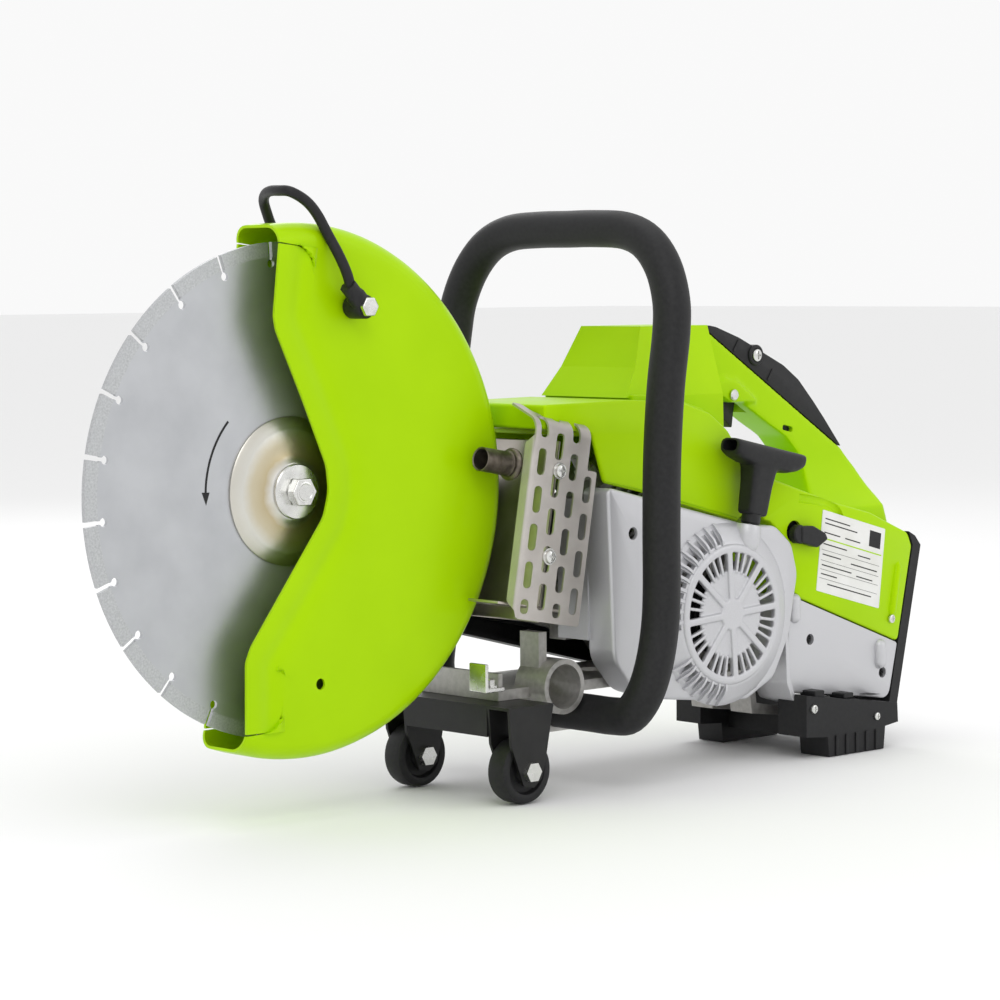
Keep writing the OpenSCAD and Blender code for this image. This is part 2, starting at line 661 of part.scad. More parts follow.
module lockout_lever() color("dimgray") difference() {
    slab(-7.5, 7.5)
        polygon([[279, 304], [287, 308.4], [323, 295.4], [327, 291], [327, 276], [322, 272], [291, 295]]);
    rod(lock_x, lock_z, -10, 10, 2.5 + run_fit);
}
module choke_lever() color("dimgray") {
    rod(choke_x, choke_z, -74, -65.5, 7);
    rod(choke_x, choke_z, -66, -54, 3);
    slab(-74, -66) polygon([[238, 184], [262, 179], [270, 173], [260, 168], [240, 171]]);
}
module stop_switch() color("red") {
    box(226.5, 237.5, 42, 54, 184, 198);
    box(226.5, 242, 42, 47, 184, 200);
}

// ---- Front handle, base and wheels ----
module front_handle() color("dimgray") tube(smooth(concat(
    half_bar, [for (i = [1:len(half_bar) - 1]) mirrored(half_bar)[i]]), 2), bar_d / 2, 20, [1, 0, 0]);
module handle_clamp() color("gray") difference() {
    box(2, 38, -24, 24, 40, 71.7);
    rod(20, 57, -30, 30, bar_d / 2 + 0.02);
}
module base_frame() color("lightgray") difference() {
    union() {
        box(-60, 226, -45, arm_y1 - 0.5, 72, deck_z);
        box(-60, -56, -45, arm_y1 - 0.5, 72, 92);
        rod(-9.2, 79.6, -62, boss_len - 62, 20.5);
        box(-24, -16, -50, -30, 79, 120);
        for (s = [-1, 1]) slab(s > 0 ? 10 : -33, s > 0 ? 33 : -10)
            polygon([
                [200, deck_z], [226, deck_z], [231, 42], [264, 36], [264, 29], [226, 34],
                [220, 72], [200, 72],
            ]);
    }
    rod(-9.2, 79.6, -70, boss_len - 61, boss_bore_d / 2);
    for (x = [40, 80, 200]) translate([x, 0, 60]) cylinder(r = 12, h = 30);
    // Room for the clutch drum's shroud
    rod(crank_x, crank_z, 20, arm_y1, 47.3);
}
module lug(y) slab(y - 1.2, y + 1.2) difference() {
    polygon([[-82, 71], [-38, 71], [-46, 32], [-50, 18], [-58, 12], [-68, 14], [-80, 44]]);
    translate([axle_x, axle_z]) circle(4);
}
module wheel_bracket() color("dimgray") {
    box(-82, -38, near_wheel_y - 12, far_wheel_y + 12, 69.5, 71.7);
    for (y = [near_wheel_y, far_wheel_y], s = [-10.8, 10.8]) lug(y + s);
    box(-82, -79.6, near_wheel_y + 12, far_wheel_y - 12, 49, 70);
}
module axle_bolts() color("gainsboro") for (y = [near_wheel_y, far_wheel_y]) {
    rod(axle_x, axle_z, y - 12, y + 12, 4);
    for (s = [[-16.5, -12], [12, 16.5]]) hex(axle_x, axle_z, y + s.x, y + s.y, 13);
}
module wheel(y) difference() {
    rod(axle_x, axle_z, y - wheel_w / 2, y + wheel_w / 2, wheel_d / 2);
    rod(axle_x, axle_z, y - wheel_w, y + wheel_w, 4 + run_fit);
    // Recess in each side, around the hub
    ring(axle_x, axle_z, y - wheel_w, y - wheel_w / 2 + 2, 17, 8);
    ring(axle_x, axle_z, y + wheel_w / 2 - 2, y + wheel_w, 17, 8);
}
module wheel_near() color("dimgray") wheel(near_wheel_y);
module wheel_far() color("dimgray") wheel(far_wheel_y);
module rear_feet() color("dimgray") {
    for (y = [[-80, -50], [35, 62]]) slab(y.x, y.y) polygon(foot_outline);
    box(272, 300, -50, 35, 12, 27.5);
}
module cover_screws() color("gainsboro") {
    for (z = shield_screw_z) leaned() translate([shield_screw_x, 0, z]) {
        rod(0, 0, shield_y - 4, shield_y, 5);
        rod(0, 0, shield_y, -58.1, 2.4);
    }
    for (p = [[-262, 275], [-262, 189], [96, 172], [84, 102]]) rod(p.x, p.y, cover_y1, cover_y1 + 3, 4.5);
    for (p = [[50, 190], [213, 134], [182, 66]]) rod(p.x, p.y, -71, -68, 3.9);
    for (p = [[259, 93], [347, 59]]) rod(p.x, p.y, -64.5, -62.1, 3.9);
    rod(245, 319, -20, -grip_half + 1, 5);
}

blade_core();
blade_segments();
outer_flange();
inner_flange();
blade_washer();
blade_bolt();
spindle();
driven_pulley();
spindle_bearings();
guard();
guard_retainer();
hose_fittings();
water_hose();
drive_arm();
belt_cover();
drive_belt();
clutch_drum();
clutch_hub();
crankshaft();
flywheel_fan();
main_bearings();
crankcase();
engine_cylinder();
piston();
spark_plug();
carburettor();
intake_boot();
exhaust_pipe();
muffler_body();
exhaust_stub();
heat_shield();
cover_screws();
starter_cover();
recoil_pulley();
starter_rope();
pull_handle();
top_cover();
filter_cover();
air_filter();
rear_cover();
rear_casing();
fuel_tank();
fuel_cap();
back_strip();
rear_handle();
grip_insert();
trigger();
trigger_pin();
lockout_lever();
choke_lever();
stop_switch();
front_handle();
handle_clamp();
base_frame();
wheel_bracket();
axle_bolts();
wheel_near();
wheel_far();
rear_feet();
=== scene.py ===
"""Looks of a petrol rescue saw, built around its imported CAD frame. All lengths are in metres."""

import json
import math

import bmesh
import bpy
from mathutils import Matrix, Vector


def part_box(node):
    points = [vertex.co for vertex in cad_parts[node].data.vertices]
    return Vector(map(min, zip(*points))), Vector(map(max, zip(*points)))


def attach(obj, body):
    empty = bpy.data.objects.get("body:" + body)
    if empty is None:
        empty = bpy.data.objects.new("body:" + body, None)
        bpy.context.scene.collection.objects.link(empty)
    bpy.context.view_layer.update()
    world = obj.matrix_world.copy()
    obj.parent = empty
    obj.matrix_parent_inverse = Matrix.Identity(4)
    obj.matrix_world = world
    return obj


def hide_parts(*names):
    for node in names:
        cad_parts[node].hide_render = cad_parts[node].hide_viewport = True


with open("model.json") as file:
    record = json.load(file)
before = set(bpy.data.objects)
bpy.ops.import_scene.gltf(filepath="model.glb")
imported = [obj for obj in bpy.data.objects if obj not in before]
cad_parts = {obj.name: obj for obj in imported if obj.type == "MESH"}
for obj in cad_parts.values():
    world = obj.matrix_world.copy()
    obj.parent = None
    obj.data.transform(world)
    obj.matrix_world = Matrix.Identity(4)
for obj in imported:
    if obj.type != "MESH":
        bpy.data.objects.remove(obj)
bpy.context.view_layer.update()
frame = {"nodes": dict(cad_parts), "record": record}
NODES = frame["nodes"]
MM = 0.001


# ---- Places that come from the frame ----
def joint(name):
    """The record of one joint."""
    return next(j for j in frame["record"]["behaviour"]["joints"] if j["name"] == name)


BLADE = Vector(joint("blade_spin")["pos_m"])
CRANK = Vector(joint("crank_spin")["pos_m"])


# ---- Camera ----
def make_camera():
    azimuth, elevation, roll = math.radians(-42.93), math.radians(3.93), math.radians(-0.39)
    distance = 2.40028
    target = Vector((-0.01536, 0.0, 0.21503))
    back = Vector((
        math.sin(azimuth) * math.cos(elevation),
        -math.cos(azimuth) * math.cos(elevation),
        math.sin(elevation),
    ))
    right = (-back).cross(Vector((0, 0, 1))).normalized()
    up = right.cross(-back)
    right_rolled = math.cos(roll) * right + math.sin(roll) * up
    up_rolled = math.cos(roll) * up - math.sin(roll) * right
    data = bpy.data.cameras.new("camera")
    data.sensor_width = 36
    data.lens = 115.66
    data.clip_start = 0.05
    camera = bpy.data.objects.new("camera", data)
    bpy.context.collection.objects.link(camera)
    turn = Matrix((right_rolled, up_rolled, back)).transposed().to_4x4()
    camera.matrix_world = Matrix.Translation(target + back * distance) @ turn
    bpy.context.scene.camera = camera


make_camera()


# ---- Materials ----
def new_material(name):
    material = bpy.data.materials.new(name)
    material.use_nodes = True
    shader = material.node_tree.nodes["Principled BSDF"]
    return material, material.node_tree, shader


def add(tree, kind, **values):
    node = tree.nodes.new(kind)
    for key, value in values.items():
        if key.startswith("in_"):
            node.inputs[key[3:].replace("_", " ")].default_value = value
        else:
            setattr(node, key, value)
    return node


def noise(tree, scale, detail=4.0, stretch=(1, 1, 1)):
    """Noise that sticks to the object."""
    coords = add(tree, "ShaderNodeTexCoord")
    mapping = add(tree, "ShaderNodeMapping")
    mapping.inputs["Scale"].default_value = stretch
    texture = add(tree, "ShaderNodeTexNoise", in_Scale=scale, in_Detail=detail)
    tree.links.new(coords.outputs["Object"], mapping.inputs["Vector"])
    tree.links.new(mapping.outputs["Vector"], texture.inputs["Vector"])
    return texture.outputs["Fac"]


def ramp(tree, value, stops):
    node = add(tree, "ShaderNodeValToRGB")
    elements = node.color_ramp.elements
    while len(elements) < len(stops):
        elements.new(0.5)
    for element, (place, colour) in zip(elements, stops):
        element.position = place
        element.color = (*colour, 1) if len(colour) == 3 else colour
    tree.links.new(value, node.inputs["Fac"])
    return node.outputs["Color"]


def spread(tree, value, low, high):
    node = add(tree, "ShaderNodeMapRange")
    node.inputs["To Min"].default_value = low
    node.inputs["To Max"].default_value = high
    tree.links.new(value, node.inputs["Value"])
    return node.outputs["Result"]


def bump(tree, shader, height, strength, distance):
    node = add(tree, "ShaderNodeBump", in_Strength=strength, in_Distance=distance)
    tree.links.new(height, node.inputs["Height"])
    tree.links.new(node.outputs["Normal"], shader.inputs["Normal"])
    return node


def grained(name, dark, light, rough, metal=0.0, scale=60, bump_scale=900, bump_strength=0.15,
            bump_depth=0.0002, coat=0.0, stretch=(1, 1, 1), specular=0.5, tint=(1, 1, 1)):
    """A finish whose colour, roughness and fine relief vary with noise."""
    material, tree, shader = new_material(name)
    shader.inputs["Metallic"].default_value = metal
    shader.inputs["Coat Weight"].default_value = coat
    shader.inputs["Coat Roughness"].default_value = 0.08
    shader.inputs["Specular IOR Level"].default_value = specular
    shader.inputs["Specular Tint"].default_value = (*tint, 1)
    tone = noise(tree, scale, 5.0, stretch)
    tree.links.new(ramp(tree, tone, [(0.3, dark), (0.7, light)]), shader.inputs["Base Color"])
    tree.links.new(spread(tree, tone, rough[0], rough[1]), shader.inputs["Roughness"])
    bump(tree, shader, noise(tree, bump_scale, 3.0, stretch), bump_strength, bump_depth)
    return material


FINISHES = {
    "green_paint": grained("green_paint", (0.37, 0.64, 0.0), (0.40, 0.68, 0.001), (0.26, 0.38), coat=0.04,
                           specular=0.3, tint=(0.7, 1, 0.1), scale=14, bump_scale=420, bump_strength=0.05),
    "green_plastic": grained("green_plastic", (0.37, 0.64, 0.0), (0.40, 0.67, 0.001), (0.34, 0.46), coat=0.02,
                             specular=0.25, tint=(0.7, 1, 0.1), scale=18, bump_scale=1500,
                             bump_strength=0.05),
    "silver_paint": grained("silver_paint", (0.54, 0.54, 0.56), (0.60, 0.60, 0.62), (0.38, 0.48), metal=0.5,
                            scale=1600, bump_scale=2400, bump_strength=0.06),
    "cast_metal": grained("cast_metal", (0.40, 0.39, 0.37), (0.52, 0.51, 0.49), (0.42, 0.60), metal=0.85,
                          scale=240, bump_scale=700, bump_strength=0.30),
    "zinc": grained("zinc", (0.60, 0.60, 0.58), (0.78, 0.78, 0.76), (0.20, 0.34), metal=1.0, scale=120),
    "blade_steel": grained("blade_steel", (0.46, 0.47, 0.49), (0.53, 0.54, 0.56), (0.34, 0.48), metal=0.9,
                           scale=30),
    "segment_metal": grained("segment_metal", (0.42, 0.43, 0.44), (0.58, 0.59, 0.60), (0.4, 0.6), metal=0.8,
                             scale=700, bump_scale=1800, bump_strength=0.4),
    "dark_steel": grained("dark_steel", (0.006, 0.006, 0.006), (0.012, 0.012, 0.012), (0.34, 0.48), metal=0.0,
                          scale=80, coat=0.05, specular=0.3),
    "silencer_metal": grained("silencer_metal", (0.42, 0.38, 0.34), (0.54, 0.50, 0.46), (0.26, 0.40),
                              metal=0.95,
                              scale=40),
    "black_rubber": grained("black_rubber", (0.008, 0.008, 0.009), (0.015, 0.015, 0.016), (0.46, 0.60),
                            specular=0.3,
                            scale=300, bump_scale=1600, bump_strength=0.35),
    "black_plastic": grained("black_plastic", (0.009, 0.009, 0.010), (0.017, 0.017, 0.018), (0.42, 0.55),
                             specular=0.3,
                             scale=220, bump_scale=1800, bump_strength=0.30),
    "white_plastic": grained("white_plastic", (0.72, 0.72, 0.68), (0.80, 0.80, 0.78), (0.4, 0.5), scale=50),
    "filter_paper": grained("filter_paper", (0.62, 0.56, 0.40), (0.75, 0.69, 0.52), (0.8, 0.9), scale=500),
    "red_plastic": grained("red_plastic", (0.50, 0.01, 0.01), (0.58, 0.02, 0.02), (0.3, 0.4), scale=100),
}


def paint_nodes():
    slots = {part["node"]: part["material_slot"] for part in frame["record"]["subparts"]}
    for name, node in NODES.items():
        node.data.materials.clear()
        node.data.materials.append(FINISHES[slots[name]])


paint_nodes()


def soften_edges(name, width, segments=3):
    """Rounds a CAD node's sharp edges with modifiers, which leave its own mesh as it is."""
    node = NODES[name]
    bevel = node.modifiers.new("round", "BEVEL")
    bevel.width = width
    bevel.segments = segments
    bevel.limit_method = "ANGLE"
    bevel.angle_limit = math.radians(35)
    bevel.harden_normals = True


# ---- Floor and light ----
def make_stage():
    """A white floor, an even sky and four soft lamps."""
    bpy.ops.mesh.primitive_plane_add(size=60, location=(0, 0, -0.0005))
    floor = bpy.context.object
    floor.name = "floor"
    material, tree, shader = new_material("floor_white")
    shader.inputs["Base Color"].default_value = (0.88, 0.88, 0.88, 1)
    shader.inputs["Roughness"].default_value = 0.9
    floor.data.materials.append(material)
    bpy.context.scene.view_settings.view_transform = "Standard"
    world = bpy.data.worlds.new("studio")
    bpy.context.scene.world = world
    world.use_nodes = True
    background = world.node_tree.nodes["Background"]
    background.inputs["Color"].default_value = (1, 1, 1, 1)
    background.inputs["Strength"].default_value = 0.95
    for name, place, size, power in (
        ("key", (-1.6, -2.0, 2.4), 1.4, 16),
        ("fill", (1.8, -2.2, 1.2), 1.2, 5),
        ("top", (0.2, 0.4, 2.6), 1.8, 10),
        ("rim", (1.2, 2.2, 1.6), 1.2, 8),
    ):
        data = bpy.data.lights.new(name, "AREA")
        data.size = size
        data.energy = power
        lamp = bpy.data.objects.new(name, data)
        bpy.context.collection.objects.link(lamp)
        lamp.location = place
        lamp.rotation_euler = (Vector((0, 0, 0.2)) - Vector(place)).to_track_quat("-Z", "Y").to_euler()


make_stage()


# ---- Mesh helpers ----
def finish_piece(piece, body, finish, replaces=()):
    """Gives a piece its finish and ties it to a CAD body."""
    piece.data.materials.clear()
    piece.data.materials.append(finish if isinstance(finish, bpy.types.Material) else FINISHES[finish])
    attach(piece, body)
    if replaces:
        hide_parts(*replaces)
    return piece


def mesh_object(name, verts, faces, smooth=True):
    data = bpy.data.meshes.new(name)
    data.from_pydata([tuple(v) for v in verts], [], faces)
    data.polygons.foreach_set("use_smooth", [smooth] * len(data.polygons))
    data.update()
    piece = bpy.data.objects.new(name, data)
    bpy.context.collection.objects.link(piece)
    return piece


def apply_modifiers(piece):
    graph = bpy.context.evaluated_depsgraph_get()
    data = bpy.data.meshes.new_from_object(piece.evaluated_get(graph))
    old = piece.data
    piece.modifiers.clear()
    piece.data = data
    bpy.data.meshes.remove(old)


def fix_normals(piece, merge=1e-6):
    work = bmesh.new()
    work.from_mesh(piece.data)
    bmesh.ops.remove_doubles(work, verts=work.verts, dist=merge)
    bmesh.ops.recalc_face_normals(work, faces=work.faces)
    work.to_mesh(piece.data)
    work.free()


def bevel(piece, width, segments=3, angle=35):
    """Rounds the sharp edges of a closed mesh and shades the rounds smoothly."""
    fix_normals(piece)
    modifier = piece.modifiers.new("round", "BEVEL")
    modifier.width = width
    modifier.segments = segments
    modifier.limit_method = "ANGLE"
    modifier.angle_limit = math.radians(angle)
    modifier.harden_normals = True
    apply_modifiers(piece)
    return piece


def fillet(points, radius, steps=6):
    """Rounds the corners of a flat outline. A point may carry its own radius as a third value."""
    out = []
    count = len(points)
    for i, point in enumerate(points):
        here = Vector(point[:2])
        before, after = Vector(points[i - 1][:2]), Vector(points[(i + 1) % count][:2])
        r = point[2] if len(point) > 2 else radius
        a, b = (before - here), (after - here)
        if r <= 0 or a.length == 0 or b.length == 0:
            out.append(here)
            continue
        half = a.angle(b) / 2
        reach = min(r / math.tan(half), a.length * 0.48, b.length * 0.48) if half < 1.56 else 0
        if reach < 1e-5:
            out.append(here)
            continue
        start, end = here + a.normalized() * reach, here + b.normalized() * reach
        for k in range(steps + 1):
            t = k / steps
            out.append(start.lerp(here, t).lerp(here.lerp(end, t), t))
    return out


def plate(name, outline, y0, y1, radius=0.0, round_edge=0.0, segments=3, steps=6):
    """A flat outline in X and Z, with rounded corners, given thickness along Y and rounded edges."""
    points = fillet(outline, radius, steps) if radius or any(len(p) > 2 for p in outline) else [
        Vector(p[:2]) for p in outline]
    n = len(points)
    verts = [(p.x, y, p.y) for y in (y0, y1) for p in points]
    faces = [list(range(n)), list(range(2 * n - 1, n - 1, -1))]
    faces += [(i, i + n, (i + 1) % n + n, (i + 1) % n) for i in range(n)]
    piece = mesh_object(name, verts, faces)
    if round_edge:
        bevel(piece, round_edge, segments)
    else:
        fix_normals(piece)
        piece.data.polygons.foreach_set("use_smooth", [False] * len(piece.data.polygons))
    return piece


def block(name, low, high, round_edge=0.001, segments=3):
    return plate(name, [(low[0], low[2]), (high[0], low[2]), (high[0], high[2]), (low[0], high[2])],
                 low[1], high[1], 0, round_edge, segments)


def lathe(name, centre, profile, steps=64, turn=None, smooth_angle=40):
    """Turns (radius, distance along Y) points about an axis along Y through centre."""
    verts, faces = [], []
    n = len(profile)
    for k in range(steps):
        a = 2 * math.pi * k / steps
        verts += [(centre.x + r * math.cos(a), centre.y + y, centre.z + r * math.sin(a)) for r, y in profile]
    for k in range(steps):
        for i in range(n - 1):
            a, b = k * n, ((k + 1) % steps) * n
            faces.append((a + i, a + i + 1, b + i + 1, b + i))
    piece = mesh_object(name, verts, faces)
    fix_normals(piece)
    shade_by_angle(piece, smooth_angle)
    return piece


def shade_by_angle(piece, angle=40):
    piece.data.polygons.foreach_set("use_smooth", [True] * len(piece.data.polygons))
    work = bmesh.new()
    work.from_mesh(piece.data)
    limit = math.radians(angle)
    for edge in work.edges:
        edge.smooth = not (len(edge.link_faces) == 2 and edge.calc_face_angle(0) > limit)
    work.to_mesh(piece.data)
    work.free()


def join(name, pieces):
    """Makes one mesh of several."""
    work = bmesh.new()
    for piece in pieces:
        piece.data.transform(piece.matrix_world)
        work.from_mesh(piece.data)
    data = bpy.data.meshes.new(name)
    work.to_mesh(data)
    work.free()
    for piece in pieces:
        bpy.data.objects.remove(piece)
    joined = bpy.data.objects.new(name, data)
    bpy.context.collection.objects.link(joined)
    return joined


def melt(name, pieces, voxel=0.0015, rounds=8, factor=0.5):
    """Blends several closed shapes into one moulded skin."""
    piece = join(name, pieces)
    remesh = piece.modifiers.new("melt", "REMESH")
    remesh.mode = "VOXEL"
    remesh.voxel_size = voxel
    remesh.use_smooth_shade = True
    smooth = piece.modifiers.new("smooth", "SMOOTH")
    smooth.factor = factor
    smooth.iterations = rounds
    apply_modifiers(piece)
    return piece


def cut(piece, tools):
    """Subtracts the tools from the piece."""
    tool = join("tool", tools)
    fix_normals(tool)
    modifier = piece.modifiers.new("cut", "BOOLEAN")
    modifier.operation = "DIFFERENCE"
    modifier.object = tool
    modifier.solver = "EXACT"
    apply_modifiers(piece)
    bpy.data.objects.remove(tool)
    return piece


def catmull(points, steps):
    """A smooth line through the points."""
    line = []
    last = len(points) - 1
    for i in range(last):
        a, b, c, d = (points[max(i - 1, 0)], points[i], points[i + 1], points[min(i + 2, last)])
        for k in range(steps):
            t = k / steps
            line.append(0.5 * (2 * b + (c - a) * t + (2 * a - 5 * b + 4 * c - d) * t * t
                               + (3 * b - 3 * c + d - a) * t ** 3))
    line.append(points[-1])
    return line


def tube(name, path, radius, sides=24, cap=True):
    """A round tube along a path. radius may be a list with one value for each point."""
    radii = radius if isinstance(radius, list) else [radius] * len(path)
    verts, faces = [], []
    normal = Vector((1, 0, 0))
    for i, point in enumerate(path):
        along = (path[min(i + 1, len(path) - 1)] - path[max(i - 1, 0)]).normalized()
        normal = (normal - normal.dot(along) * along).normalized()
        side = along.cross(normal)
        for k in range(sides):
            a = 2 * math.pi * k / sides
            verts.append(point + radii[i] * (math.cos(a) * normal + math.sin(a) * side))
    for i in range(len(path) - 1):
        for k in range(sides):
            a, b = i * sides, (i + 1) * sides
            faces.append((a + k, a + (k + 1) % sides, b + (k + 1) % sides, b + k))
    if cap:
        faces.append(list(range(sides - 1, -1, -1)))
        faces.append([(len(path) - 1) * sides + k for k in range(sides)])
    piece = mesh_object(name, verts, faces)
    fix_normals(piece)
    shade_by_angle(piece, 50)
    return piece


def hexagon(name, centre, flats, y0, y1, chamfer=0.0008):
    """A bolt head or nut along Y, with chamfered corners."""
    radius = flats / math.sqrt(3)
    outline = [(centre.x + radius * math.cos(math.radians(60 * k)),
                centre.z + radius * math.sin(math.radians(60 * k)))
               for k in range(6)]
    return plate(name, outline, y0, y1, 0, chamfer, 2)


# ---- Guard ----
GUARD_R = 0.188
GUARD_HALF = (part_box("guard")[1][1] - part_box("guard")[0][1]) / 2
GUARD_CORNER = 0.012
SHEET = 0.002
MOUTH = [(-21, 193), (-29, 123, 10), (-27, 113, 14), (-4, 65, 20), (17, 18, 24), (19, 0, 30), (14, -18, 24),
         (-52, -104, 12), (-57, -115, 12), (-58, -193)]


def resample(points, count):
    """Equal steps along an open line."""
    lengths = [0.0]
    for a, b in zip(points, points[1:]):
        lengths.append(lengths[-1] + (b - a).length)
    out, j = [], 0
    for i in range(count):
        goal = lengths[-1] * i / (count - 1)
        while j < len(points) - 2 and lengths[j + 1] < goal:
            j += 1
        span = lengths[j + 1] - lengths[j]
        out.append(points[j].lerp(points[j + 1], (goal - lengths[j]) / span if span else 0))
    return out


def guard_mouth():
    corners = [tuple(v * MM for v in p) for p in MOUTH]
    rounded = fillet([(-0.3, 0.193, 0)] + corners + [(-0.3, -0.193, 0)], 0.0, 5)[1:-1]
    return resample(rounded, 150)


def guard_wall(side):
    """Rows of points from the mouth to the rim, for the near (-1) or the far (1) wall."""
    mouth = guard_mouth()
    # Keep only the stretch inside the rim circle
    flat_r = GUARD_R - GUARD_CORNER
    inside = [p for p in mouth if p.length < flat_r]
    inside = resample(inside, 140)
    start, end = math.atan2(inside[0].y, inside[0].x), math.atan2(inside[-1].y, inside[-1].x)
    count = len(inside)
    rows = []
    # A raised bead runs along the mouth
    bead_depth, bead_at, bead_half = 0.0016, 0.021, 0.007
    distances = [0.0, 0.001, 0.003, 0.007, 0.011, 0.014, 0.0165, 0.019, 0.021, 0.023, 0.0255, 0.028, 0.032]
    inner = []
    for i, p in enumerate(inside):
        along = inside[min(i + 1, count - 1)] - inside[max(i - 1, 0)]
        normal = Vector((-along.y, along.x)).normalized()
        inner.append(normal if normal.x > 0 else -normal)
    for _ in range(3):
        inner = [(inner[max(i - 1, 0)] + 2 * inner[i] + inner[min(i + 1, count - 1)]).normalized()
                 for i in range(count)]
    for distance in distances:
        row = []
        for i, p in enumerate(inside):
            q = p + inner[i] * distance
            if q.length > flat_r:
                q = q.normalized() * flat_r
            edge_fade = min(1.0, max(0.0, (flat_r - q.length) / 0.01))
            x = (distance - bead_at) / bead_half
            depth = bead_depth * math.exp(-x * x) * edge_fade
            row.append(Vector((q.x, side * (GUARD_HALF - depth), q.y)))
        rows.append(row)
    last = rows[-1]
    rim = []
    for i in range(count):
        a = start + (end - start) * i / (count - 1)
        rim.append(Vector((math.cos(a), 0, math.sin(a))))
    for k in range(1, 11):
        t = k / 10
        rows.append([
            Vector((0, side * GUARD_HALF, 0)) + Vector((last[i].x, 0, last[i].z)).lerp(rim[i] * flat_r, t)
            for i in range(count)
        ])
    for k in range(1, 7):
        a = math.radians(90 * k / 6)
        r = flat_r + GUARD_CORNER * math.sin(a)
        y = GUARD_HALF - GUARD_CORNER + GUARD_CORNER * math.cos(a)
        rows.append([rim[i] * r + Vector((0, side * y, 0)) for i in range(count)])
    return rows


def make_guard():
    near, far = guard_wall(-1), guard_wall(1)
    rows = near + [
        [near[-1][i].lerp(far[-1][i], k / 5) for i in range(len(near[0]))] for k in range(1, 5)
    ] + far[::-1]
    width = len(rows[0])
    verts = [BLADE + v for row in rows for v in row]
    faces = [
        (r * width + i, r * width + i + 1, (r + 1) * width + i + 1, (r + 1) * width + i)
        for r in range(len(rows) - 1) for i in range(width - 1)
    ]
    shell = mesh_object("guard_shell", verts, faces)
    fix_normals(shell, 2e-4)
    thick = shell.modifiers.new("sheet", "SOLIDIFY")
    thick.thickness = SHEET
    thick.offset = -1
    apply_modifiers(shell)
    hub = lathe("tool_hub", Vector((BLADE.x, 0, BLADE.z)),
                [(0.0005, 0.01), (0.0305, 0.01), (0.0305, 0.04), (0.0005, 0.04)])
    hole = lathe("tool_hole", Vector((BLADE.x + 0.009, 0, BLADE.z - 0.1355)),
                 [(0.0002, -0.04), (0.004, -0.04), (0.004, 0), (0.0002, 0)], 24)
    cut(shell, [hub, hole])
    shade_by_angle(shell, 50)
    finish_piece(shell, "guard", "green_paint", ["guard"])


make_guard()


# ---- Water hose ----
HOSE_R = 0.00375
HOSE_ROUTE = [
    (-190, -38, 366), (-194, -38, 382), (-198, -34, 396), (-203, -27, 412), (-211, -25, 426),
    (-221, -25, 435),
    (-232, -22, 441), (-233, -10, 442), (-229, 4, 442), (-222, 18, 440), (-216, 27, 435), (-210, 30, 425),
    (-203, 32, 412), (-198, 36, 396), (-194, 38, 382), (-190, 38, 366),
]


def make_hose():
    route = [Vector(p) * MM for p in HOSE_ROUTE]
    hose = tube("water_hose_rubber", catmull(route, 8), HOSE_R, 24)
    finish_piece(hose, "guard", "black_rubber", ["water_hose"])
    metal, black = [], []
    centre_line = catmull(route, 8)
    end_y, bolt_y, bolt_end = 0.038, 0.042, 0.0465
    foot = Vector((BLADE.x + 0.040, 0, BLADE.z + 0.129))
    for side in (-1, 1):
        end = Vector((foot.x, side * end_y, foot.z))
        lean = (centre_line[4 if side < 0 else -5] - end).normalized()
        black.append(lathe(f"banjo{side}", Vector((foot.x, 0, foot.z)), [
            (0.0002, side * GUARD_HALF), (0.0075, side * GUARD_HALF), (0.0085, side * (GUARD_HALF + 0.002)),
            (0.0085, side * 0.0405), (0.0075, side * bolt_y), (0.0002, side * bolt_y)], 32))
        black.append(tube(f"ferrule{side}",
                          [end, end + lean * 0.0115, end + lean * 0.0125, end + lean * 0.021],
                          [0.0072, 0.0072, 0.0062, 0.0062], 8))
        low, high = sorted((side * bolt_y, side * bolt_end))
        metal.append(hexagon(f"banjo_bolt{side}", foot, 0.013, low, high, 0.0012))
    finish_piece(join("banjo_bodies", black), "guard", "black_plastic", ["hose_fittings"])
    finish_piece(join("banjo_bolts", metal), "guard", "zinc", ["hose_fittings"])


make_hose()


# ---- Front handle ----
BAR_R = 0.014
HALF_BAR = [
    (20, 4, 57), (20, 30, 57), (20, 60, 57), (20, 84, 57), (19, 102, 60), (22, 114, 76), (28, 118, 98),
    (34, 118, 124),
    (36, 118, 152), (36, 118, 200), (37, 118, 250), (41, 118, 300), (47, 118, 340), (50, 115, 364),
    (53, 104, 388), (55, 86, 406), (56, 62, 415), (56, 30, 417), (56, 0, 417),
]


def make_front_handle():
    half = [Vector(p) * MM for p in HALF_BAR]
    whole = half + [Vector((p.x, -p.y, p.z)) for p in half[-2::-1]]
    bar = tube("front_handle_rubber", catmull(whole, 5), BAR_R, 40)
    finish_piece(bar, "machine", "black_rubber", ["front_handle"])


make_front_handle()


# ---- More mesh helpers ----
def mm(points):
    return [tuple(v * MM for v in point) for point in points]


def place(x, y, z):
    """A frame at a point given in millimetres."""
    return Matrix.Translation(Vector((x, y, z)) * MM)


TO_NEAR = Matrix.Rotation(math.radians(90), 4, "X")
TO_FAR = Matrix.Rotation(math.radians(-90), 4, "X")
LEANED = place(-42, 0, 281) @ Matrix.Rotation(math.radians(10), 4, "Y")
ALONG_ROPE = place(174, -79, 190) @ Matrix.Rotation(math.radians(12), 4, "Y")


def pivot(name):
    """A frame on a joint's axis whose Z axis points out of the near side."""
    x, _, z = joint(name)["pos_m"]
    return place(x / MM, 0, z / MM) @ TO_NEAR


